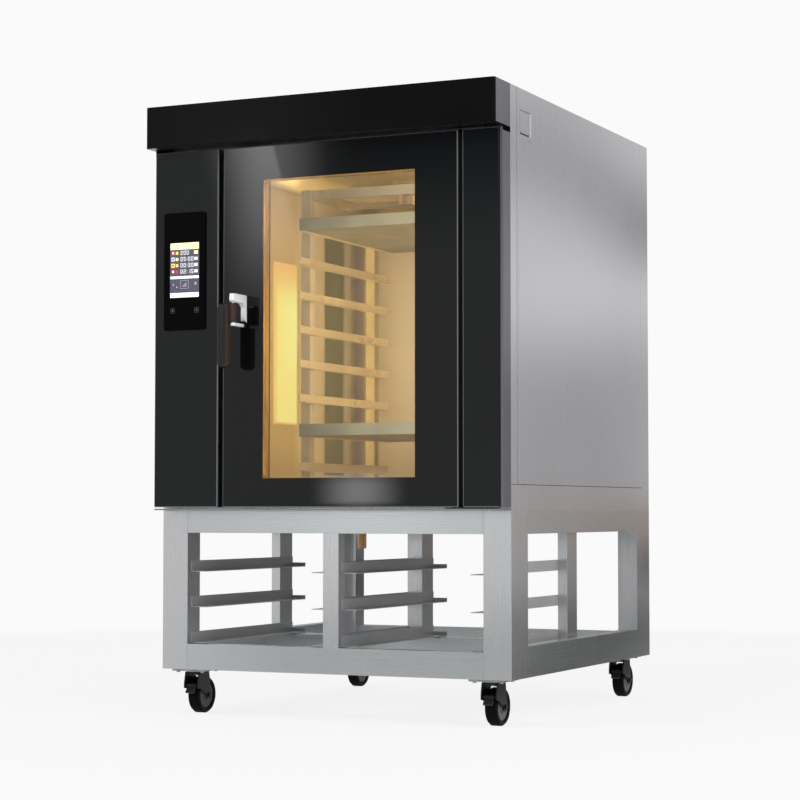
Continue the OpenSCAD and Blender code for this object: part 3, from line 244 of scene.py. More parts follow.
def paint_look(name, colour, rough=0.4, specular=0.3, mottle=0.15, grain=900.0, depth=0.02 * MM):
    """Painted or moulded surface, with a faint orange peel and uneven sheen."""
    look = Look(name)
    fine = look.noise(grain, 2, 0.5)
    broad = look.noise(6.0, 3, 0.55)
    base = look.blend(look.spread(broad, 0, 1), *shades(colour, mottle))
    wear = look.spread(broad, rough * 0.85, rough * 1.15)
    bump = look.relief(fine, 0.3, depth, 1 * MM)
    return look.set(Base_Color=base, Roughness=wear, Specular_IOR_Level=specular, Normal=bump).mat


def glass_panel_look(name, colour, rough=0.03, ior=1.3):
    """Dark printed glass, with faint wipe marks in its gloss."""
    look = Look(name)
    wipe = look.noise(5.0, 5, 0.6, (1, 1, 0.35))
    broad = look.noise(1.6, 1, 0.5)
    base = look.blend(look.spread(broad, 0, 1), *shades(colour, 0.15))
    gloss = look.spread(wipe, rough, rough * 2.2, 0.4, 0.75)
    return look.set(Base_Color=base, Roughness=gloss, IOR=ior).mat


def door_glass_look():
    """The door's outer glass: a dark printed border round a clear window."""
    low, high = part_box("door_inner_glass")
    look = Look("door_glass")
    x, _, z = look.axes()
    clear = look.maths("MULTIPLY", look.within(x, low.x, high.x), look.within(z, low.z, high.z))
    wipe = look.noise(5.0, 5, 0.6, (1, 1, 0.35))
    base = look.blend(clear, (0.0038, 0.0044, 0.005), (1, 1, 1))
    gloss = look.maths(
        "MULTIPLY", look.spread(wipe, 0.02, 0.05, 0.4, 0.75), look.spread(clear, 1, 0, 0, 1)
    )
    return look.set(Base_Color=base, Roughness=gloss, Transmission_Weight=clear, IOR=1.3).mat


def clear_glass_look():
    look = Look("clear_glass")
    wipe = look.noise(7.0, 4, 0.6)
    base = look.blend(look.spread(wipe, 0, 1), (0.97, 0.985, 0.98), (0.94, 0.96, 0.95))
    return look.set(Base_Color=base, Roughness=0.0, Transmission_Weight=1.0, IOR=1.2).mat


def grip_look():
    """Moulded grip: a black shell, with a painted warm reflection of the window in dark brown along the
    side that faces it.
    """
    low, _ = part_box("handle_grip")
    look = Look("grip_plastic")
    x, y, _ = look.axes()
    fine = look.noise(1500.0, 2, 0.5)
    broad = look.noise(9.0, 3, 0.5)
    inner_side = look.soft(x, low.x + 21 * MM, low.x + 25 * MM)
    window_reflection = look.maths("MULTIPLY", inner_side, look.soft(y, low.y, low.y + 4 * MM))
    shell = look.blend(look.spread(broad, 0, 1), (0.008, 0.0082, 0.009), (0.0105, 0.0107, 0.0115))
    # painted reflection: the window's warm light, painted as dark brown on the side that faces it
    base = look.blend(window_reflection, shell, (0.046, 0.029, 0.019))
    bump = look.relief(fine, 0.3, 0.03 * MM)
    sheen = look.spread(broad, 0.26, 0.34)
    return look.set(Base_Color=base, Roughness=sheen, Specular_IOR_Level=0.22, Normal=bump).mat


def lamp_look():
    """Lit lamp glass, soft at its front edge and its ends, and patchy in between."""
    low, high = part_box("lamp_glasses")
    look = Look("lamp_lit")
    _, y, z = look.axes()
    cloud = look.noise(7.0, 3, 0.5, (1, 1, 0.5))
    colour = look.blend(look.spread(cloud, 0, 1), (0.68, 0.66, 0.16), (0.6, 0.84, 0.31))
    bottom = look.soft(z, low.z, low.z + 12 * MM)
    top = look.soft(z, high.z, high.z - 130 * MM)
    front = look.soft(y, low.y - 10 * MM, low.y + 45 * MM)
    bright = look.maths("MULTIPLY", look.maths("MULTIPLY", bottom, top), front)
    lit = look.blend(bright, (0.55, 0.3, 0.07), colour)
    look.set(Base_Color=(0.6, 0.45, 0.2), Roughness=0.4)
    return look.set(Emission_Color=lit, Emission_Strength=LAMP_STRENGTH).mat


def lit_look(name, colour, strength=1.0):
    """A lit patch of the display, with a fine pixel grid."""
    look = Look(name)
    grid = look.noise(2500.0, 0, 0.5)
    shade = look.blend(look.spread(grid, 0, 0.12), colour, (0, 0, 0))
    look.set(Base_Color=colour, Roughness=0.3)
    return look.set(Emission_Color=shade, Emission_Strength=strength).mat


def wool_look():
    look = Look("mineral_wool")
    fibre = look.noise(240.0, 6, 0.75, (1, 1, 3))
    base = look.blend(look.spread(fibre, 0, 1), (0.45, 0.38, 0.22), (0.72, 0.64, 0.42))
    return look.set(Base_Color=base, Roughness=0.95, Normal=look.relief(fibre, 0.8, 1.5 * MM)).mat


def wheel_look(name, centre):
    """Castor wheel: a dark grey disc in a black tyre, with scuffs on the tread."""
    look = Look(name)
    _, y, z = look.axes()
    across = look.maths("POWER", look.maths("SUBTRACT", y, centre.y), 2.0)
    up = look.maths("POWER", look.maths("SUBTRACT", z, centre.z), 2.0)
    radius = look.maths("SQRT", look.maths("ADD", across, up), 0.0)
    disc = look.spread(radius, 1, 0, WHEEL_DISC - 0.5 * MM, WHEEL_DISC + 0.5 * MM)
    tread = look.spread(radius, 0, 1, WHEEL_TREAD - 1 * MM, WHEEL_TREAD + 1 * MM)
    scuff = look.noise(160.0, 5, 0.7)
    worn = look.maths("MULTIPLY", look.spread(scuff, 0, 0.5, 0.5, 0.7), tread)
    base = look.blend(disc, (0.0025, 0.0025, 0.0027), (0.13, 0.13, 0.137))
    base = look.blend(worn, base, (0.012, 0.012, 0.012))
    rough = look.maths("ADD", look.spread(scuff, 0.42, 0.6), look.maths("MULTIPLY", tread, 0.2))
    bump = look.relief(scuff, 0.2, 0.1 * MM)
    return look.set(Base_Color=base, Roughness=rough, Specular_IOR_Level=0.06, Normal=bump).mat


# ---------------------------------------------------------------- building pieces


def new_object(name, mesh, mats):
    """Makes an object of a bmesh and frees the bmesh."""
    data = bpy.data.meshes.new(name)
    mesh.to_mesh(data)
    mesh.free()
    for mat in mats:
        data.materials.append(mat)
    obj = bpy.data.objects.new(name, data)
    scene.collection.objects.link(obj)
    return obj


def piece(name, mesh, mats, body, smooth=30):
    """Makes an object of a bmesh and lets it ride on a body.

    smooth is the angle in degrees up to which its edges look smooth, and 0 leaves it faceted.
    """
    bmesh.ops.recalc_face_normals(mesh, faces=mesh.faces)
    obj = new_object(name, mesh, mats if isinstance(mats, list) else [mats])
    if smooth:
        obj.data.polygons.foreach_set("use_smooth", [True] * len(obj.data.polygons))
        obj.data.set_sharp_from_angle(angle=math.radians(smooth))
    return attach(obj, body)


def add_box(mesh, low, high, bevel, segments=3, index=0, edge_index=None):
    """Adds a box with rounded edges to a bmesh. edge_index is the material of the rounded edges."""
    low, high = Vector(low), Vector(high)
    part = bmesh.new()
    bmesh.ops.create_cube(part, size=1)
    bmesh.ops.scale(part, vec=high - low, verts=part.verts)
    bmesh.ops.translate(part, vec=(low + high) / 2, verts=part.verts)
    rim = -1 if edge_index is None else 1
    round_edges(part, part.edges[:], bevel, segments, rim)
    join(mesh, part, index, edge_index)


def add_rod(mesh, start, end, radius, bevel=0.0, sides=32):
    """Adds a cylinder between two points, its ends rounded off, to a bmesh."""
    start, end = Vector(start), Vector(end)
    part = bmesh.new()
    bmesh.ops.create_cone(
        part, cap_ends=True, segments=sides, radius1=radius, radius2=radius, depth=(end - start).length
    )
    if bevel:
        round_edges(part, [e for e in part.edges if e.verts[0].co.z == e.verts[1].co.z], bevel)
    turn = Vector((0, 0, 1)).rotation_difference(end - start).to_matrix().to_4x4()
    bmesh.ops.transform(part, matrix=Matrix.Translation((start + end) / 2) @ turn, verts=part.verts)
    join(mesh, part)


def add_profile(mesh, outline, x0, x1, bevel):
    """Adds a YZ outline that is extruded along X, with rounded edges, to a bmesh."""
    part = bmesh.new()
    face = part.faces.new([part.verts.new((x0, y, z)) for y, z in outline])
    made = bmesh.ops.extrude_face_region(part, geom=[face])
    moved = [item for item in made["geom"] if isinstance(item, bmesh.types.BMVert)]
    bmesh.ops.translate(part, vec=(x1 - x0, 0, 0), verts=moved)
    round_edges(part, part.edges[:], bevel)
    join(mesh, part)


def round_edges(part, edges, radius, segments=3, material=0):
    """Rounds edges of a bmesh. The new faces get a material, or with -1 that of the faces beside."""
    bmesh.ops.bevel(
        part,
        geom=edges,
        offset=radius,
        segments=segments,
        affect="EDGES",
        profile=0.5,
        material=material,
    )


def join(mesh, part, index=0, edge_index=None):
    """Copies one bmesh into another and frees it. Faces made by a marked bevel take edge_index."""
    made = {v: mesh.verts.new(v.co) for v in part.verts}
    for face in part.faces:
        copy = mesh.faces.new([made[v] for v in face.verts])
        copy.material_index = edge_index if edge_index is not None and face.material_index else index
    part.free()


def screw_heads(name, places, axis, radius, height, mat, body):
    """Dome-headed screws at places, pointing along axis."""
    mesh = bmesh.new()
    axis = Vector(axis)
    for place in places:
        start = Vector(place)
        add_rod(mesh, start - axis * 0.2 * MM, start + axis * height, radius, height * 0.45, 20)
        add_rod(mesh, start, start + axis * (height + 0.05 * MM), radius * 0.28, 0, 6)
    return piece(name, mesh, mat, body)


# ---------------------------------------------------------------- materials

side_steel = steel_look(
    "side_steel", (0.532, 0.528, 0.552), (0, 0, 1), 0.26, 0.05, 1.0, smear=0.006, streak=0.02
)
# a darker copy of the steel: painted shade on the side faces of the hood and the control columns
frame_steel_shaded = steel_look("frame_steel_shaded", (0.15, 0.152, 0.172), (0, 0, 1), 0.3, 0.08)
post_steel = steel_look(
    "post_steel", (0.5, 0.506, 0.515), (0, 0, 1), 0.28, 0.04, 1.2, smear=0.008, streak=0.02
)
flue_steel = steel_look("flue_steel", (0.5, 0.5, 0.51), (0, 0, 1), 0.3, 0.1, 8.0)
rail_steel = steel_look(
    "rail_steel", (0.478, 0.497, 0.505), (1, 1, 0), 0.28, 0.04, 1.2, smear=0.008, streak=0.02
)
runner_steel = steel_look(
    "runner_steel", (0.42, 0.42, 0.43), (0, 1, 0), 0.3, 0.05, 2.0, metal=0.55, smear=0.01, streak=0.04
)
strip_steel = steel_look("strip_steel", (0.24, 0.26, 0.26), (1, 0, 0), 0.4, 0.05)
cavity_steel = steel_look(
    "cavity_steel",
    (0.78, 0.67, 0.38),
    (0, 0, 1),
    0.34,
    0.06,
    3.0,
    metal=0.4,
    smear=0.01,
    rear=((1.0, 0.93, 0.76), 0.04, 0.14),
)
rack_steel = steel_look("rack_steel", (0.84, 0.72, 0.5), (0, 0, 1), 0.3, 0.08, 5.0, metal=0.55)
upright_steel = steel_look(
    "upright_steel",
    (0.82, 0.73, 0.58),
    (0, 0, 1),
    0.3,
    0.08,
    5.0,
    metal=0.55,
    rear=((0.5, 0.42, 0.25), 0.0, 0.15),
)
guide_steel = steel_look(
    "guide_steel", (0.575, 0.515, 0.45), (0, 0, 1), 0.5, 0.05, 2.0, metal=0.35, smear=0.01
)
slot_olive = steel_look(
    "slot_olive", (0.36, 0.38, 0.22), (0, 0, 1), 0.4, 0.1, 4.0, metal=0.4, smear=0.01
)
tray_metal = steel_look("tray_metal", (0.33, 0.31, 0.23), (0, 1, 0), 0.5, 0.12, 12.0, metal=0.3)
# gold: a painted reflection of the lamp-lit cavity on the window's liner
liner_lamp_reflection = steel_look("liner_lamp_reflection", (0.97, 0.6, 0.17), (0, 0, 1), 0.22, 0.1, 9.0, metal=0.9)
heat_steel = steel_look("heat_steel", (0.3, 0.26, 0.23), (0, 1, 0), 0.45, 0.3, 20.0)
bright_metal = steel_look("bright_metal", (0.86, 0.86, 0.87), (0, 0, 1), 0.09, 0.03, 8.0, 0.8 * MM)
zinc = steel_look("zinc", (0.32, 0.33, 0.34), (0, 1, 0), 0.4, 0.25, 40.0)
brass = steel_look("brass", (0.55, 0.32, 0.16), (0, 0, 1), 0.35, 0.2, 30.0)

satin_chrome = paint_look("satin_chrome", (0.88, 0.88, 0.89), 0.3, 0.5, 0.04, 900.0)
# pale grey of the panes' ground edges: partly the ground glass's own colour, partly painted highlight
edge_frost_and_highlight = paint_look("edge_frost_and_highlight", (0.17, 0.18, 0.19), 0.6, 0.3, 0.1, 1200.0)
fascia_black = paint_look("fascia_black", (0.0042, 0.0042, 0.0043), 0.25, 0.04, 0.1, 500.0)
door_black = paint_look("door_black", (0.012, 0.012, 0.013), 0.45, 0.25)
bracket_black = paint_look("bracket_black", (0.012, 0.012, 0.012), 0.4, 0.3)
castor_black = paint_look("castor_black", (0.007, 0.007, 0.0075), 0.38, 0.2, 0.25, 600.0)
motor_grey = paint_look("motor_grey", (0.1, 0.115, 0.14), 0.5, 0.5, 0.12, 300.0, 0.08 * MM)
gland_plastic = paint_look("gland_plastic", (0.02, 0.02, 0.022), 0.5, 0.4)
seal_rubber = paint_look("seal_rubber", (0.03, 0.03, 0.03), 0.65, 0.3, 0.2, 400.0, 0.05 * MM)
seam_dark = paint_look("seam_dark", (0.03, 0.03, 0.032), 0.6, 0.2)
icon_grey = paint_look("icon_grey", (0.085, 0.085, 0.088), 0.5, 0.3)
# painted highlights along folded edges on the sides
edge_highlight = paint_look("edge_highlight", (0.42, 0.42, 0.43), 0.4, 0.3)
joint_grey = paint_look("joint_grey", (0.22, 0.22, 0.225), 0.5, 0.3)
# painted shade: a black strip where the hood's overhang casts its shadow
shade_black = paint_look("shade_black", (0.0025, 0.0025, 0.0025), 0.9, 0.0)
grip_plastic = grip_look()

column_glass = glass_panel_look("column_glass", (0.0042, 0.005, 0.0056))
touch_glass = glass_panel_look("touch_glass", (0.0006, 0.0006, 0.0006), 0.05, 1.12)
door_glass = door_glass_look()
clear_glass = clear_glass_look()
lamp_lit = lamp_look()
wool = wool_look()

screen_violet = lit_look("screen_violet", (0.045, 0.043, 0.065), 0.9)
screen_white = lit_look("screen_white", (0.78, 0.79, 0.8))
screen_pale = lit_look("screen_pale", (0.48, 0.48, 0.5))
screen_grey = lit_look("screen_grey", (0.24, 0.23, 0.3))
screen_yellow = lit_look("screen_yellow", (0.78, 0.75, 0.36))
screen_amber = lit_look("screen_amber", (0.75, 0.55, 0.1), 0.9)
screen_red = lit_look("screen_red", (0.32, 0.03, 0.05))

NODE_LOOKS = {
    post_steel: ("stand_posts",),
    rail_steel: ("stand_rails",),
    runner_steel: ("stand_runners",),
    side_steel: (
        "side_panel_left",
        "side_panel_right",
        "back_panel",
        "roof_panel",
        "base_panel",
        "front_frame",
    ),
    frame_steel_shaded: ("fascia_hood", "column_boxes", "lamp_housings"),
    strip_steel: ("sill_strip",),
    cavity_steel: ("cavity_sides", "cavity_roof", "cavity_floor"),
    guide_steel: ("cavity_back", "air_guide"),
    flue_steel: ("flue_collar", "damper_flap"),
    upright_steel: ("rack_frame",),
    rack_steel: ("rack_rails", "rack_shaft", "rack_bearings", "fan_impeller"),
    tray_metal: ("tray_upper", "tray_lower"),
    heat_steel: ("heating_elements",),
    bright_metal: ("latch_bolt",),
    satin_chrome: ("handle_bracket",),
    zinc: ("castor_plates",),
    brass: ("water_valve", "drain_pipe"),
    fascia_black: ("fascia_front",),
    door_black: ("door_frame",),
    bracket_black: ("hinge_brackets",),
    grip_plastic: ("handle_grip",),
    motor_grey: ("fan_motor", "rack_gearmotor"),
    gland_plastic: ("cable_gland",),
    seal_rubber: ("door_seal",),
    column_glass: ("column_glass",),
    touch_glass: ("touch_panel",),
    door_glass: ("door_outer_glass",),
    clear_glass: ("door_inner_glass",),
    lamp_lit: ("lamp_glasses",),
    wool: ("insulation",),
    screen_violet: ("display",),
    castor_black: tuple(f"{part}_{end}" for part in ("castor_fork", "brake_pedal") for end in CASTORS),
}


def dress(node, mat):
    """Gives a CAD node its finished material."""
    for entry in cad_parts[node].material_slots:
        entry.material = mat


def dress_nodes():
    """Gives all CAD nodes their materials. Each castor wheel has its own, round its centre."""
    for mat, nodes in NODE_LOOKS.items():
        for node in nodes:
            dress(node, mat)
    for end in CASTORS:
        node = f"castor_wheel_{end}"
        low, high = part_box(node)
        dress(node, wheel_look(f"wheel_{end}", (low + high) / 2))


# ---------------------------------------------------------------- front glass

GLASS_EDGE = 2.4 * MM  # width of a pane's ground edge
DOOR_GROOVES = (16 * MM, 13 * MM)  # to the control column and to the hinge column


def glass_panes(name, node, boxes, mat, body, dark_ends=()):
    """Panes with pale ground edges, save the upright ones at the x places of dark_ends. Their pale grey
    is partly the ground glass's own colour and partly painted highlight.
    """
    mesh = bmesh.new()
    for low, high in boxes:
        add_box(mesh, low, high, GLASS_EDGE, 1, 0, 1)
    for face in mesh.faces:
        if any(abs(face.calc_center_median().x - end) < GLASS_EDGE for end in dark_ends):
            face.material_index = 0
    pane = piece(name, mesh, [mat, edge_frost_and_highlight], body, 20)
    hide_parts(node)


def make_panes():
    low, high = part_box("column_glass")
    door_low, door_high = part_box("door_outer_glass")
    columns = [
        (low, (door_low.x - DOOR_GROOVES[0], high.y, high.z)),
        ((door_high.x + DOOR_GROOVES[1], low.y, low.z), high),
    ]
    ends = (low.x, high.x)
    glass_panes("column_panes", "column_glass", columns, column_glass, "oven", ends)
    door = [(door_low, door_high)]
    glass_panes("door_pane", "door_outer_glass", door, door_glass, "door")


# ---------------------------------------------------------------- display and touch keys

# The bars that light up in each digit, with letters as on a seven-segment display
SEGMENTS = {
    "0": "abcdef",
    "1": "bc",
    "2": "abged",
    "3": "abgcd",
    "5": "afgcd",
}
BAR = 0.17  # a bar's width as a share of the digit's height
DIGIT_STEP = 1.35  # from digit to digit, as a share of a digit's width
COLON_STEP = 0.6
COLON_DOTS = (0.25, 0.65)  # their places as shares of a digit's height

# How far the shapes stand in front of the display, in mm
PATCH_LIFT = 0.15
DIGIT_LIFT = 0.25
DOT_LIFT = 0.3

SCREEN_LOOKS = [screen_white, screen_yellow, screen_amber, screen_red, screen_pale, screen_grey]
WHITE, YELLOW, AMBER, RED, PALE, GREY = range(len(SCREEN_LOOKS))

# Rows of the screen, as text, colour of the icon and colour of the square beside it
SCREEN_ROWS = (
    ("200", RED, AMBER),
    ("05:00", PALE, YELLOW),
    ("00:30", AMBER, AMBER),
    ("02:15", RED, RED),
)
ROW_TOP = 22.5  # mm below the display's top edge
ROW_STEP = 17.2  # mm

# Small shapes between the screen's white bands, as x, z, width and height in mm, and colour
ICONS = (
    (33, 104, 26, 1.2, GREY),
    (33, 126, 26, 1.2, GREY),
    (33, 104, 1.2, 23, GREY),
    (57.8, 104, 1.2, 23, GREY),
    *((40 + i * 3.2, 118 - i * 2.6, 2.2, 4 + i * 2.6, GREY) for i in range(4)),
    (9, 112, 3, 7, GREY),
    (78, 110, 6, 8, GREY),
    (20, 121, 3, 3, PALE),
)

# A touch key's outline and dot, as x, z, width and height from its middle, in mm
KEY_SHAPES = ((-7, 6, 14, 1), (-7, -7, 14, 1), (-7, -7, 1, 14), (6, -7, 1, 14), (-3, -3, 6, 6))
KEYS_X = (28 * MM, 104 * MM)  # from the touch panel's left edge
KEYS_Z = 55 * MM  # above its lower edge
KEY_LIFT = 0.12 * MM


class Screen:
    """Flat lit shapes on the display, placed in mm from its top left corner."""

    def __init__(self, node):
        self.low, self.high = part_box(node)
        self.mesh = bmesh.new()

    def patch(self, x, z, width, height, index, lift=PATCH_LIFT):
        low = (self.low.x + x * MM, self.low.y - lift * MM, self.high.z - (z + height) * MM)
        high = (self.low.x + (x + width) * MM, self.low.y + 0.1 * MM, self.high.z - z * MM)
        add_box(self.mesh, low, high, 0.04 * MM, 1, index)

    def band(self, z, height, index):
        """A patch as wide as the screen."""
        self.patch(1, z, 90, height, index)

    def digit(self, glyph, x, z, width, height, index):
        bar = height * BAR
        half = height / 2
        places = {
            "a": (0, 0, width, bar),
            "g": (0, half - bar / 2, width, bar),
            "d": (0, height - bar, width, bar),
            "f": (0, 0, bar, half),
            "b": (width - bar, 0, bar, half),
            "e": (0, half, bar, half),
            "c": (width - bar, half, bar, half),
        }
        for segment in SEGMENTS[glyph]:
            dx, dz, w, h = places[segment]
            self.patch(x + dx, z + dz, w, h, index, DIGIT_LIFT)

    def number(self, text, x, z, width, height, index):
        dot = height * BAR
        for glyph in text:
            if glyph == ":":
                for share in COLON_DOTS:
                    self.patch(x, z + height * share, dot, dot, index, DIGIT_LIFT)
                x += width * COLON_STEP
            else:
                self.digit(glyph, x, z, width, height, index)
                x += width * DIGIT_STEP


def make_screen():
    """Generic graphics: rows with an icon, a square, digits and a tag, between plain bands."""
    screen = Screen("display")
    screen.band(1, 18, YELLOW)
    for row, (text, icon, mark) in enumerate(SCREEN_ROWS):
        top = ROW_TOP + row * ROW_STEP
        screen.patch(4, top, 11, 11, icon)
        screen.patch(7, top + 3, 5, 5, WHITE if icon == RED else RED, DOT_LIFT)
        screen.patch(18, top + 2, 8, 8, mark)
        screen.number(text, 33, top, 7.2, 11.5, PALE)
        screen.patch(76, top + 1, 12, 9, PALE if row else YELLOW)
    screen.band(92.5, 7, WHITE)
    for icon in ICONS:
        screen.patch(*icon)
    screen.band(138.5, 12.5, WHITE)
    piece("screen_graphics", screen.mesh, SCREEN_LOOKS, "oven", 0)


def make_touch_keys():
    panel_low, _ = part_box("touch_panel")
    keys = bmesh.new()
    z = panel_low.z + KEYS_Z
    for key_x in KEYS_X:
        x = panel_low.x + key_x
        for dx, dz, w, h in KEY_SHAPES:
            low = (x + dx * MM, panel_low.y - KEY_LIFT, z + dz * MM)
            high = (x + (dx + w) * MM, panel_low.y + 0.1 * MM, z + (dz + h) * MM)
            add_box(keys, low, high, 0.03 * MM, 1)
    piece("touch_keys", keys, icon_grey, "oven", 0)


# ---------------------------------------------------------------- cavity and window

WALL = 1.5 * MM  # thickness of the cavity's walls
SLOT_Y = (0.255, 0.385)  # front and rear edges of their air outlets
SLOT_END = 70 * MM  # of the wall that is left above and below an outlet
SLOT_LIFT = 0.8 * MM
RIB = 5 * MM  # width of the rib at each of their edges
RIB_LIFT = 3 * MM
LINER = 0.8 * MM  # thickness of the window's liner
LINER_GAP = 0.05 * MM  # to the window's edges


def make_air_outlets():
    """A dark outlet with a rib at each edge, on both walls."""
    low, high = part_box("cavity_sides")
    bottom, top = low.z + SLOT_END, high.z - SLOT_END
    slots = bmesh.new()
    ribs = bmesh.new()
    strips = (
        (slots, SLOT_Y[0], SLOT_Y[1], SLOT_LIFT),
        (ribs, SLOT_Y[0] - RIB, SLOT_Y[0], RIB_LIFT),
        (ribs, SLOT_Y[1], SLOT_Y[1] + RIB, RIB_LIFT),
    )
    for side, wall in ((1, low.x + WALL), (-1, high.x - WALL)):
        for mesh, front, rear, lift in strips:
            x = sorted((wall - side * 0.2 * MM, wall + side * lift))
            add_box(mesh, (x[0], front, bottom), (x[1], rear, top), 0.3 * MM, 2)
    piece("wall_slots", slots, slot_olive, "oven")
    piece("wall_ribs", ribs, rack_steel, "oven")


def make_window_liner():
    """Strips round the inside of the door's window, whose gold is a painted reflection of the lamp-lit
    cavity.
    """
    low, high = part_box("door_inner_glass")
    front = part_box("door_frame")[0].y + 0.4 * MM
    back = low.y - 0.3 * MM
    liner = bmesh.new()
    for side, edge in ((1, low.x), (-1, high.x)):
        x = sorted((edge + side * LINER_GAP, edge + side * LINER))
        add_box(liner, (x[0], front, low.z), (x[1], back, high.z), 0.2 * MM, 2)
    for side, edge in ((1, low.z), (-1, high.z)):
        z = sorted((edge + side * LINER_GAP, edge + side * LINER))
        add_box(liner, (low.x + LINER, front, z[0]), (high.x - LINER, back, z[1]), 0.2 * MM, 2)
    piece("window_liner", liner, liner_lamp_reflection, "door")


# ---------------------------------------------------------------- body and stand details

SIDE_X = cad_box[1][0]
STRIP_SINK = 0.4 * MM  # how deep in the sheet a strip or a joint starts
STRIP_BEVEL = 0.1 * MM
HOOD_SHADE = 15 * MM  # height of the black strip of painted shade under the hood's sides
SEAM_Y = -0.457  # of the upright seam in each side
SEAM = 1.2 * MM  # its width
SILL_Y = -0.499  # front end of the seam along each side's lower edge
FLAP = ((-0.433, 1.553), (-0.353, 1.612))  # two corners of a small cover, as y and z
SCREWS = ((-0.362, 1.538), (0.014, 1.545))  # as y and z

BAY_X = 0.442  # the joints in the stand's front and rear, from its middle
POST_Y = 0.115  # the joints in its sides, from its front and rear
LOW_RAIL_TOP = 0.195  # where the lower joints end, in front and at the rear
SIDE_RAIL_TOP = 0.207  # and at the sides
HIGH_RAIL_LOW = 0.5  # where the upper joints start
JOINT = 0.5 * MM  # half a joint's width
JOINT_LIFT = 0.12 * MM


def side_strips(spans, mat, name, lift):
    """Thin strips on both sides of the body, each from one y and z to another."""
    mesh = bmesh.new()
    for side in (-1, 1):
        x = sorted((side * (SIDE_X - STRIP_SINK), side * (SIDE_X + lift)))
        for low, high in spans:
            add_box(mesh, (x[0], *low), (x[1], *high), STRIP_BEVEL, 1)
    piece(name, mesh, mat, "oven")


def make_side_details():
    """Seams, pale strips of painted highlight beside the upright seam and on the small cover's edges, a
    black strip of painted shade under the hood's sides, and screws.
    """
    panel_low, panel_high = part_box("side_panel_right")
    floor, top = panel_low.z, panel_high.z - 1.5 * MM
    (flap_front, flap_low), (flap_rear, flap_high) = FLAP
    seams = [
        ((SEAM_Y, floor + 1 * MM), (SEAM_Y + SEAM, top)),
        ((SILL_Y, floor - 1 * MM), (panel_high.y, floor + 0.6 * MM)),
        ((flap_front, flap_low - 4.5 * MM), (flap_rear - 18 * MM, flap_low)),
        ((flap_front + 2 * MM, flap_high), (flap_rear - 6 * MM, flap_high + 1.6 * MM)),
    ]
    # painted highlights: pale strips beside the upright seam and on the small cover's edges
    edges = [
        ((SEAM_Y + SEAM, floor + 1 * MM), (SEAM_Y + SEAM + 1 * MM, top)),
        ((flap_rear - 11 * MM, flap_low - 4 * MM), (flap_rear, flap_high + 1 * MM)),
        ((flap_front, flap_low), (flap_front + 1 * MM, flap_high)),
    ]
    # a black strip of painted shade under the hood's sides
    hood_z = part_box("fascia_hood")[0].z
    hood_shadow_strip = ((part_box("column_boxes")[0].y, hood_z - HOOD_SHADE), (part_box("front_frame")[0].y, hood_z))
    side_strips(seams, seam_dark, "side_seams", 0.15 * MM)
    side_strips(edges, edge_highlight, "side_highlights", 0.2 * MM)
    side_strips([hood_shadow_strip], shade_black, "hood_shade_strips", 0.1 * MM)
    for side, name in ((-1, "side_screws_left"), (1, "side_screws_right")):
        places = [(side * SIDE_X, *place) for place in SCREWS]
        screws = screw_heads(name, places, (side, 0, 0), 4 * MM, 0.15 * MM, joint_grey, "oven")


def make_stand_joints():
    """Joints between the stand's posts and rails."""
    low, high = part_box("stand_posts")
    joints = bmesh.new()
    spans = ((low.z, LOW_RAIL_TOP, SIDE_RAIL_TOP), (HIGH_RAIL_LOW, high.z, high.z))
    for bottom, front_top, side_top in spans:
        for end in (-1, 1):
            y0, y1 = sorted((end * (-low.y - STRIP_SINK), end * (-low.y + JOINT_LIFT)))
            for x in (-BAY_X, BAY_X):
                add_box(joints, (x - JOINT, y0, bottom), (x + JOINT, y1, front_top), STRIP_BEVEL, 1)
            x0, x1 = sorted((end * (high.x - STRIP_SINK), end * (high.x + JOINT_LIFT)))
            for y in (low.y + POST_Y, high.y - POST_Y):
                add_box(joints, (x0, y - JOINT, bottom), (x1, y + JOINT, side_top), STRIP_BEVEL, 1)
    piece("stand_joints", joints, joint_grey, "oven")


# ---------------------------------------------------------------- handle

PIN_BACK = 10 * MM  # from the bracket's front end to its pin
LOWER_ARM = 8 * MM  # height of the lower arm
UPPER_ARM = 23 * MM  # height of the upper arm
BASE_PLATE = 8 * MM  # thickness of the plate on the door
PLATE_END = 11 * MM  # from the bracket's underside to the lower end of its bright plate

GRIP_WIDTH = 33 * MM
GRIP_DEPTH = 38 * MM
GRIP_DOME = 14 * MM  # height of its rounded ends
GRIP_SKIN = 0.2 * MM  # how far its cover stands off
GRIP_STEPS = 10  # in the height of an end
GRIP_SIDES = 40
GRIP_CORNER = 0.5  # exponent: 1 makes its rings ellipses, and less makes them squarer
GRIP_TAPER = 0.8  # exponent: 1 makes its ends domes, and less makes them blunter
GRIP_TIP = 0.02  # the first ring's size before the taper, as a share of the full size


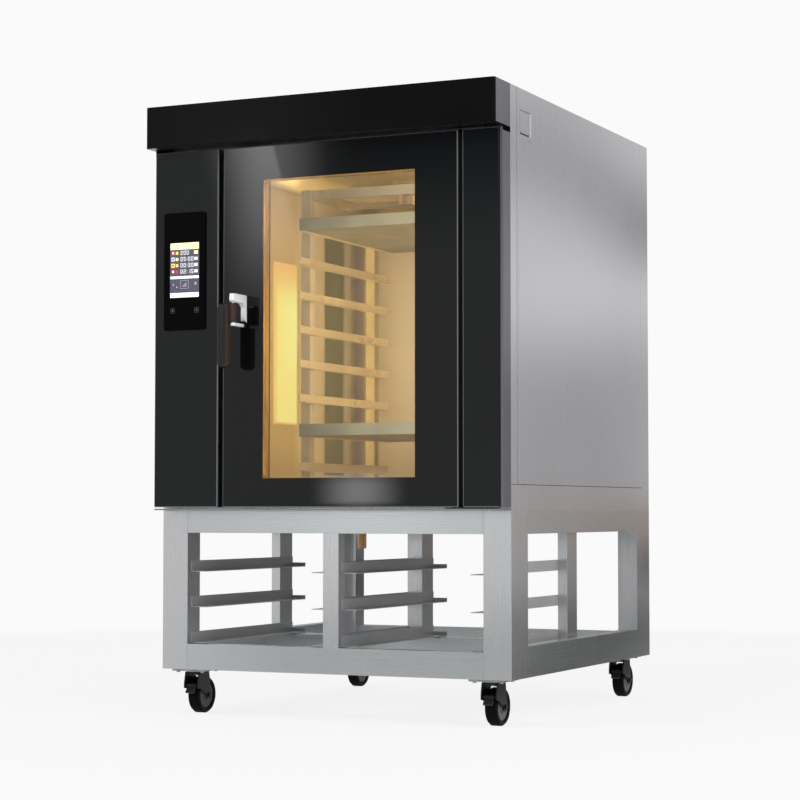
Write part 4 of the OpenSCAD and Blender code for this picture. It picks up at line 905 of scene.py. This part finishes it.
def make_bracket():
    """Bracket with a bright plate and two arms that hold the grip's pin, on a black foot."""
    low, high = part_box("handle_bracket")
    arm_z = high.z - UPPER_ARM
    plate_y = high.y - BASE_PLATE
    bracket = bmesh.new()
    outline = [
        (high.y, high.z),
        (low.y + 2 * MM, high.z),
        (low.y, high.z - UPPER_ARM * 0.75),
        (low.y + 6 * MM, arm_z),
        (plate_y - 12 * MM, arm_z),
        (plate_y, arm_z - 10 * MM),
        (plate_y, low.z + PLATE_END + 8 * MM),
        (high.y, low.z + PLATE_END),
    ]
    add_profile(bracket, outline, low.x, high.x, 1.4 * MM)
    pin_x = (low.x + high.x) / 2
    pin_y = low.y + PIN_BACK
    arm_top = low.z + LOWER_ARM
    add_box(bracket, (low.x, pin_y, low.z), (high.x, plate_y - 8 * MM, arm_top), 0.8 * MM)
    foot_low = (low.x + 0.5 * MM, plate_y - 9 * MM, low.z)
    foot_high = (high.x - 0.5 * MM, high.y, low.z + PLATE_END + 4 * MM)
    add_box(bracket, foot_low, foot_high, 0.8 * MM, 3, 1)
    add_rod(bracket, (pin_x, pin_y, low.z), (pin_x, pin_y, arm_top), 7.5 * MM, 0.8 * MM)
    add_rod(bracket, (pin_x, pin_y, low.z), (pin_x, pin_y, arm_z), 4 * MM)
    chrome_bracket = piece("chrome_bracket", bracket, [satin_chrome, bracket_black], "door")
    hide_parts("handle_bracket")


def make_grip():
    """Grip's cover: rings with rounded corners, drawn in towards both ends."""
    low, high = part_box("handle_grip")
    middle_x = low.x + GRIP_WIDTH / 2
    middle_y = low.y + GRIP_DEPTH / 2
    levels = []
    for step in range(GRIP_STEPS + 1):
        turn = step / GRIP_STEPS * math.pi / 2
        levels.append((low.z - GRIP_SKIN + GRIP_DOME * (1 - math.cos(turn)), math.sin(turn)))
    levels += [(low.z + high.z - z, share) for z, share in reversed(levels)]
    grip = bmesh.new()
    rings = []
    for z, share in levels:
        share = max(share, GRIP_TIP) ** GRIP_TAPER
        ring = []
        for k in range(GRIP_SIDES):
            turn = 2 * math.pi * k / GRIP_SIDES
            across, along = (
                math.copysign(abs(f(turn)) ** GRIP_CORNER, f(turn)) for f in (math.cos, math.sin)
            )
            x = middle_x + across * share * (GRIP_WIDTH / 2 + GRIP_SKIN)
            y = middle_y + along * share * (GRIP_DEPTH / 2 + GRIP_SKIN)
            ring.append(grip.verts.new((x, y, z)))
        rings.append(ring)
    for lower, upper in zip(rings, rings[1:]):
        for k in range(GRIP_SIDES):
            grip.faces.new((lower[k], lower[k - 1], upper[k - 1], upper[k]))
    grip.faces.new(rings[0])
    grip.faces.new(rings[-1])
    piece("grip_cover", grip, grip_plastic, "handle", 60)


# ---------------------------------------------------------------- stage, lights and camera


def ray_mix(tree, seen, unseen):
    """Mixes two shader outputs: seen for camera, glossy and transmission rays, unseen for the rest."""
    path = tree.nodes.new("ShaderNodeLightPath")
    total = path.outputs["Is Camera Ray"]
    for kind in ("Is Glossy Ray", "Is Transmission Ray"):
        node = tree.nodes.new("ShaderNodeMath")
        node.operation = "MAXIMUM"
        tree.links.new(total, node.inputs[0])
        tree.links.new(path.outputs[kind], node.inputs[1])
        total = node.outputs["Value"]
    mix = tree.nodes.new("ShaderNodeMixShader")
    tree.links.new(total, mix.inputs["Fac"])
    tree.links.new(unseen, mix.inputs[1])
    tree.links.new(seen, mix.inputs[2])
    return mix.outputs["Shader"]


def make_world():
    world = bpy.data.worlds.new("studio")
    scene.world = world
    world.use_nodes = True
    tree = world.node_tree
    unseen = tree.nodes["Background"]
    seen = tree.nodes.new("ShaderNodeBackground")
    for node, strength in ((unseen, WORLD_LIGHT), (seen, BACKGROUND)):
        node.inputs["Color"].default_value = (1, 1, 1, 1)
        node.inputs["Strength"].default_value = strength
    mixed = ray_mix(tree, seen.outputs["Background"], unseen.outputs["Background"])
    tree.links.new(mixed, tree.nodes["World Output"].inputs["Surface"])


def make_floor():
    """Pale floor that keeps a soft shadow and runs into the background."""
    look = Look("studio_floor")
    look.set(Base_Color=(0.9, 0.9, 0.9), Roughness=0.9, Specular_IOR_Level=0.0)
    glow = look.add("ShaderNodeEmission")
    look.feed(glow, Color=(1, 1, 1), Strength=BACKGROUND)
    share = look.add("ShaderNodeMixShader")
    look.feed(share, Fac=look.maths("MAXIMUM", look.soft(look.reach(), *FLOOR_FADE), FLOOR_GLOW))
    surface = look.shader.outputs["BSDF"]
    look.connect(share.inputs[1], surface)
    look.connect(share.inputs[2], glow.outputs["Emission"])
    look.finish_with(ray_mix(look.tree, share.outputs["Shader"], surface))
    mesh = bmesh.new()
    bmesh.ops.create_grid(mesh, x_segments=1, y_segments=1, size=60)
    floor = new_object("floor", mesh, [look.mat])


def area_light(name, place, target, size, power, colour=(1, 1, 1), glossy=False):
    """Soft lamp that lights the model.

    Only a glossy one shows in reflections, because the studio's reflections come from its cards.
    """
    data = bpy.data.lights.new(name, "AREA")
    data.shape = "RECTANGLE"
    data.size, data.size_y = size
    data.energy = power
    data.color = colour
    lamp = bpy.data.objects.new(name, data)
    scene.collection.objects.link(lamp)
    lamp.location = place
    aim = Vector(target) - Vector(place)
    lamp.rotation_euler = aim.to_track_quat("-Z", "Y").to_euler()
    lamp.visible_glossy = glossy
    lamp.visible_camera = lamp.visible_transmission = False


def make_studio_lights():
    middle = (0, 0, 0.9)
    area_light("key", (-3.2, -4.5, 4.2), middle, (2.5, 2.5), 160)
    area_light("fill", (5.5, -1.0, 2.8), middle, (3.0, 3.0), 170)


def make_cavity_lights():
    """Warm light from both lamps, and a weak one from the window to the rear."""
    low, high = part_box("lamp_glasses")
    middle = (low + high) / 2
    for name, x, power in (
        ("oven_lamp_left", low.x + 8 * MM, 1.6),
        ("oven_lamp_right", high.x - 8 * MM, 3.5),
    ):
        place, target = (x, middle.y, middle.z), (0, middle.y, middle.z)
        area_light(name, place, target, (0.12, 0.8), power, WARM, True)
    area_light("oven_front", (0.05, -0.46, 1.1), (-0.1, 0, 1.1), (0.5, 0.8), 2.1, (1.0, 0.86, 0.6))


def card(
    name, place, size, strength, colour=(1, 1, 1), fades=(0.1, 0.1, 0.1, 0.1), tilt=0.0, flat=False
):
    """Upright studio card along X that only reflections show.

    A bright one adds light and a dark one covers it. Its fades are the widths of its soft left,
    right, bottom and top edges, tilt leans it to the left, and a flat card lies on the floor with
    its bottom edge to the front.
    """
    look = Look(name)
    x, _, z = look.axes()
    width, height = size
    left = look.soft(x, -width / 2, -width / 2 + fades[0])
    right = look.soft(x, width / 2, width / 2 - fades[1])
    bottom = look.soft(z, -height / 2, -height / 2 + fades[2])
    top = look.soft(z, height / 2, height / 2 - fades[3])
    across = look.maths("MULTIPLY", left, right)
    mask = look.maths("MULTIPLY", across, look.maths("MULTIPLY", bottom, top))
    glow = look.add("ShaderNodeEmission")
    clear = look.add("ShaderNodeBsdfTransparent")
    if strength > BACKGROUND:
        look.feed(glow, Color=colour, Strength=look.maths("MULTIPLY", mask, strength))
        mix = look.add("ShaderNodeAddShader")
        first, second = mix.inputs
    else:
        look.feed(glow, Color=colour, Strength=strength)
        mix = look.add("ShaderNodeMixShader")
        look.feed(mix, Fac=mask)
        _, first, second = mix.inputs
    look.connect(first, clear.outputs["BSDF"])
    look.connect(second, glow.outputs["Emission"])
    look.finish_with(mix.outputs["Shader"])
    mesh = bmesh.new()
    corners = [(sx * width / 2, 0, sz * height / 2) for sx, sz in ((-1, -1), (1, -1), (1, 1), (-1, 1))]
    mesh.faces.new([mesh.verts.new(c) for c in corners])
    plane = new_object(name, mesh, [look.mat])
    plane.location = place
    plane.rotation_euler = (math.radians(-90 if flat else 0), math.radians(-tilt), 0)
    for ray in ("camera", "diffuse", "transmission", "volume_scatter", "shadow"):
        setattr(plane, f"visible_{ray}", False)


def make_cards():
    # Shown by the front glass
    card("front_dark", (-1.2, -4.05, 2.25), (1.7, 1.3), 0.12, fades=(0.5, 0.3, 0.7, 0.1))
    card("front_glow", (-2.02, -4.0, 1.95), (0.64, 1.2), 4.0, fades=(0.3, 0.34, 0.6, 0.1))
    card("front_wedge", (-2.15, -3.98, 2.02), (0.4, 0.95), 5.0, fades=(0.36, 0.01, 0.8, 0.02), tilt=16)
    card("front_low_glow", (-1.58, -4.0, 0.67), (0.5, 0.18), 9.0, fades=(0.25, 0.25, 0.02, 0.1))
    card("front_floor_dark", (-0.3, -1.7, 0.11), (2.0, 0.3), 0.3, fades=(0.6, 0.3, 0.02, 0.14))

    # Shown by the right side
    card("side_dusk", (1.15, 1.75, 0.69), (1.3, 1.38), 0.46, fades=(0.6, 0.1, 0.02, 0.4))
    card("side_low", (1.2, 1.7, 0.15), (1.2, 0.3), 0.05, fades=(0.5, 0.1, 0.02, 0.14))
    card("side_floor", (1.15, 0.75, 0.004), (1.1, 1.9), 0.08, fades=(0.1, 0.3, 0.4, 0.1), flat=True)
    card("side_warm", (1.15, 1.65, 0.52), (1.3, 0.22), 0.5, (1.0, 0.8, 0.7), (0.1, 0.1, 0.08, 0.08))
    card("side_band", (1.16, 1.8, 1.76), (1.1, 0.4), 0.28, fades=(0.1, 0.1, 0.18, 0.18), tilt=37)
    card("side_top", (1.42, 1.82, 2.0), (0.8, 0.6), 0.5, fades=(0.4, 0.1, 0.2, 0.2))

    # Shown by the inner sides of the stand's posts
    card("stand_dark", (0.4, 1.7, 0.3), (1.2, 0.5), 0.05, fades=(0.1, 0.1, 0.02, 0.1))
    card("stand_low_dark", (-0.8, 1.72, 0.36), (1.6, 0.5), 0.18, fades=(0.1, 0.1, 0.1, 0.1))


def make_camera():
    data = bpy.data.cameras.new("camera")
    data.lens = CAMERA_LENS
    data.sensor_width = CAMERA_SENSOR
    camera = bpy.data.objects.new("camera", data)
    scene.collection.objects.link(camera)
    camera.location = CAMERA_PLACE
    camera.rotation_euler = (math.radians(90 + CAMERA_PITCH), 0, math.radians(CAMERA_YAW))
    scene.camera = camera


# ---------------------------------------------------------------- the whole scene

dress_nodes()
make_panes()
make_screen()
make_touch_keys()
make_air_outlets()
make_window_liner()
make_side_details()
make_stand_joints()
make_bracket()
make_grip()

make_world()
make_floor()
make_studio_lights()
make_cards()
make_cavity_lights()
make_camera()
scene.view_settings.view_transform = "Standard"
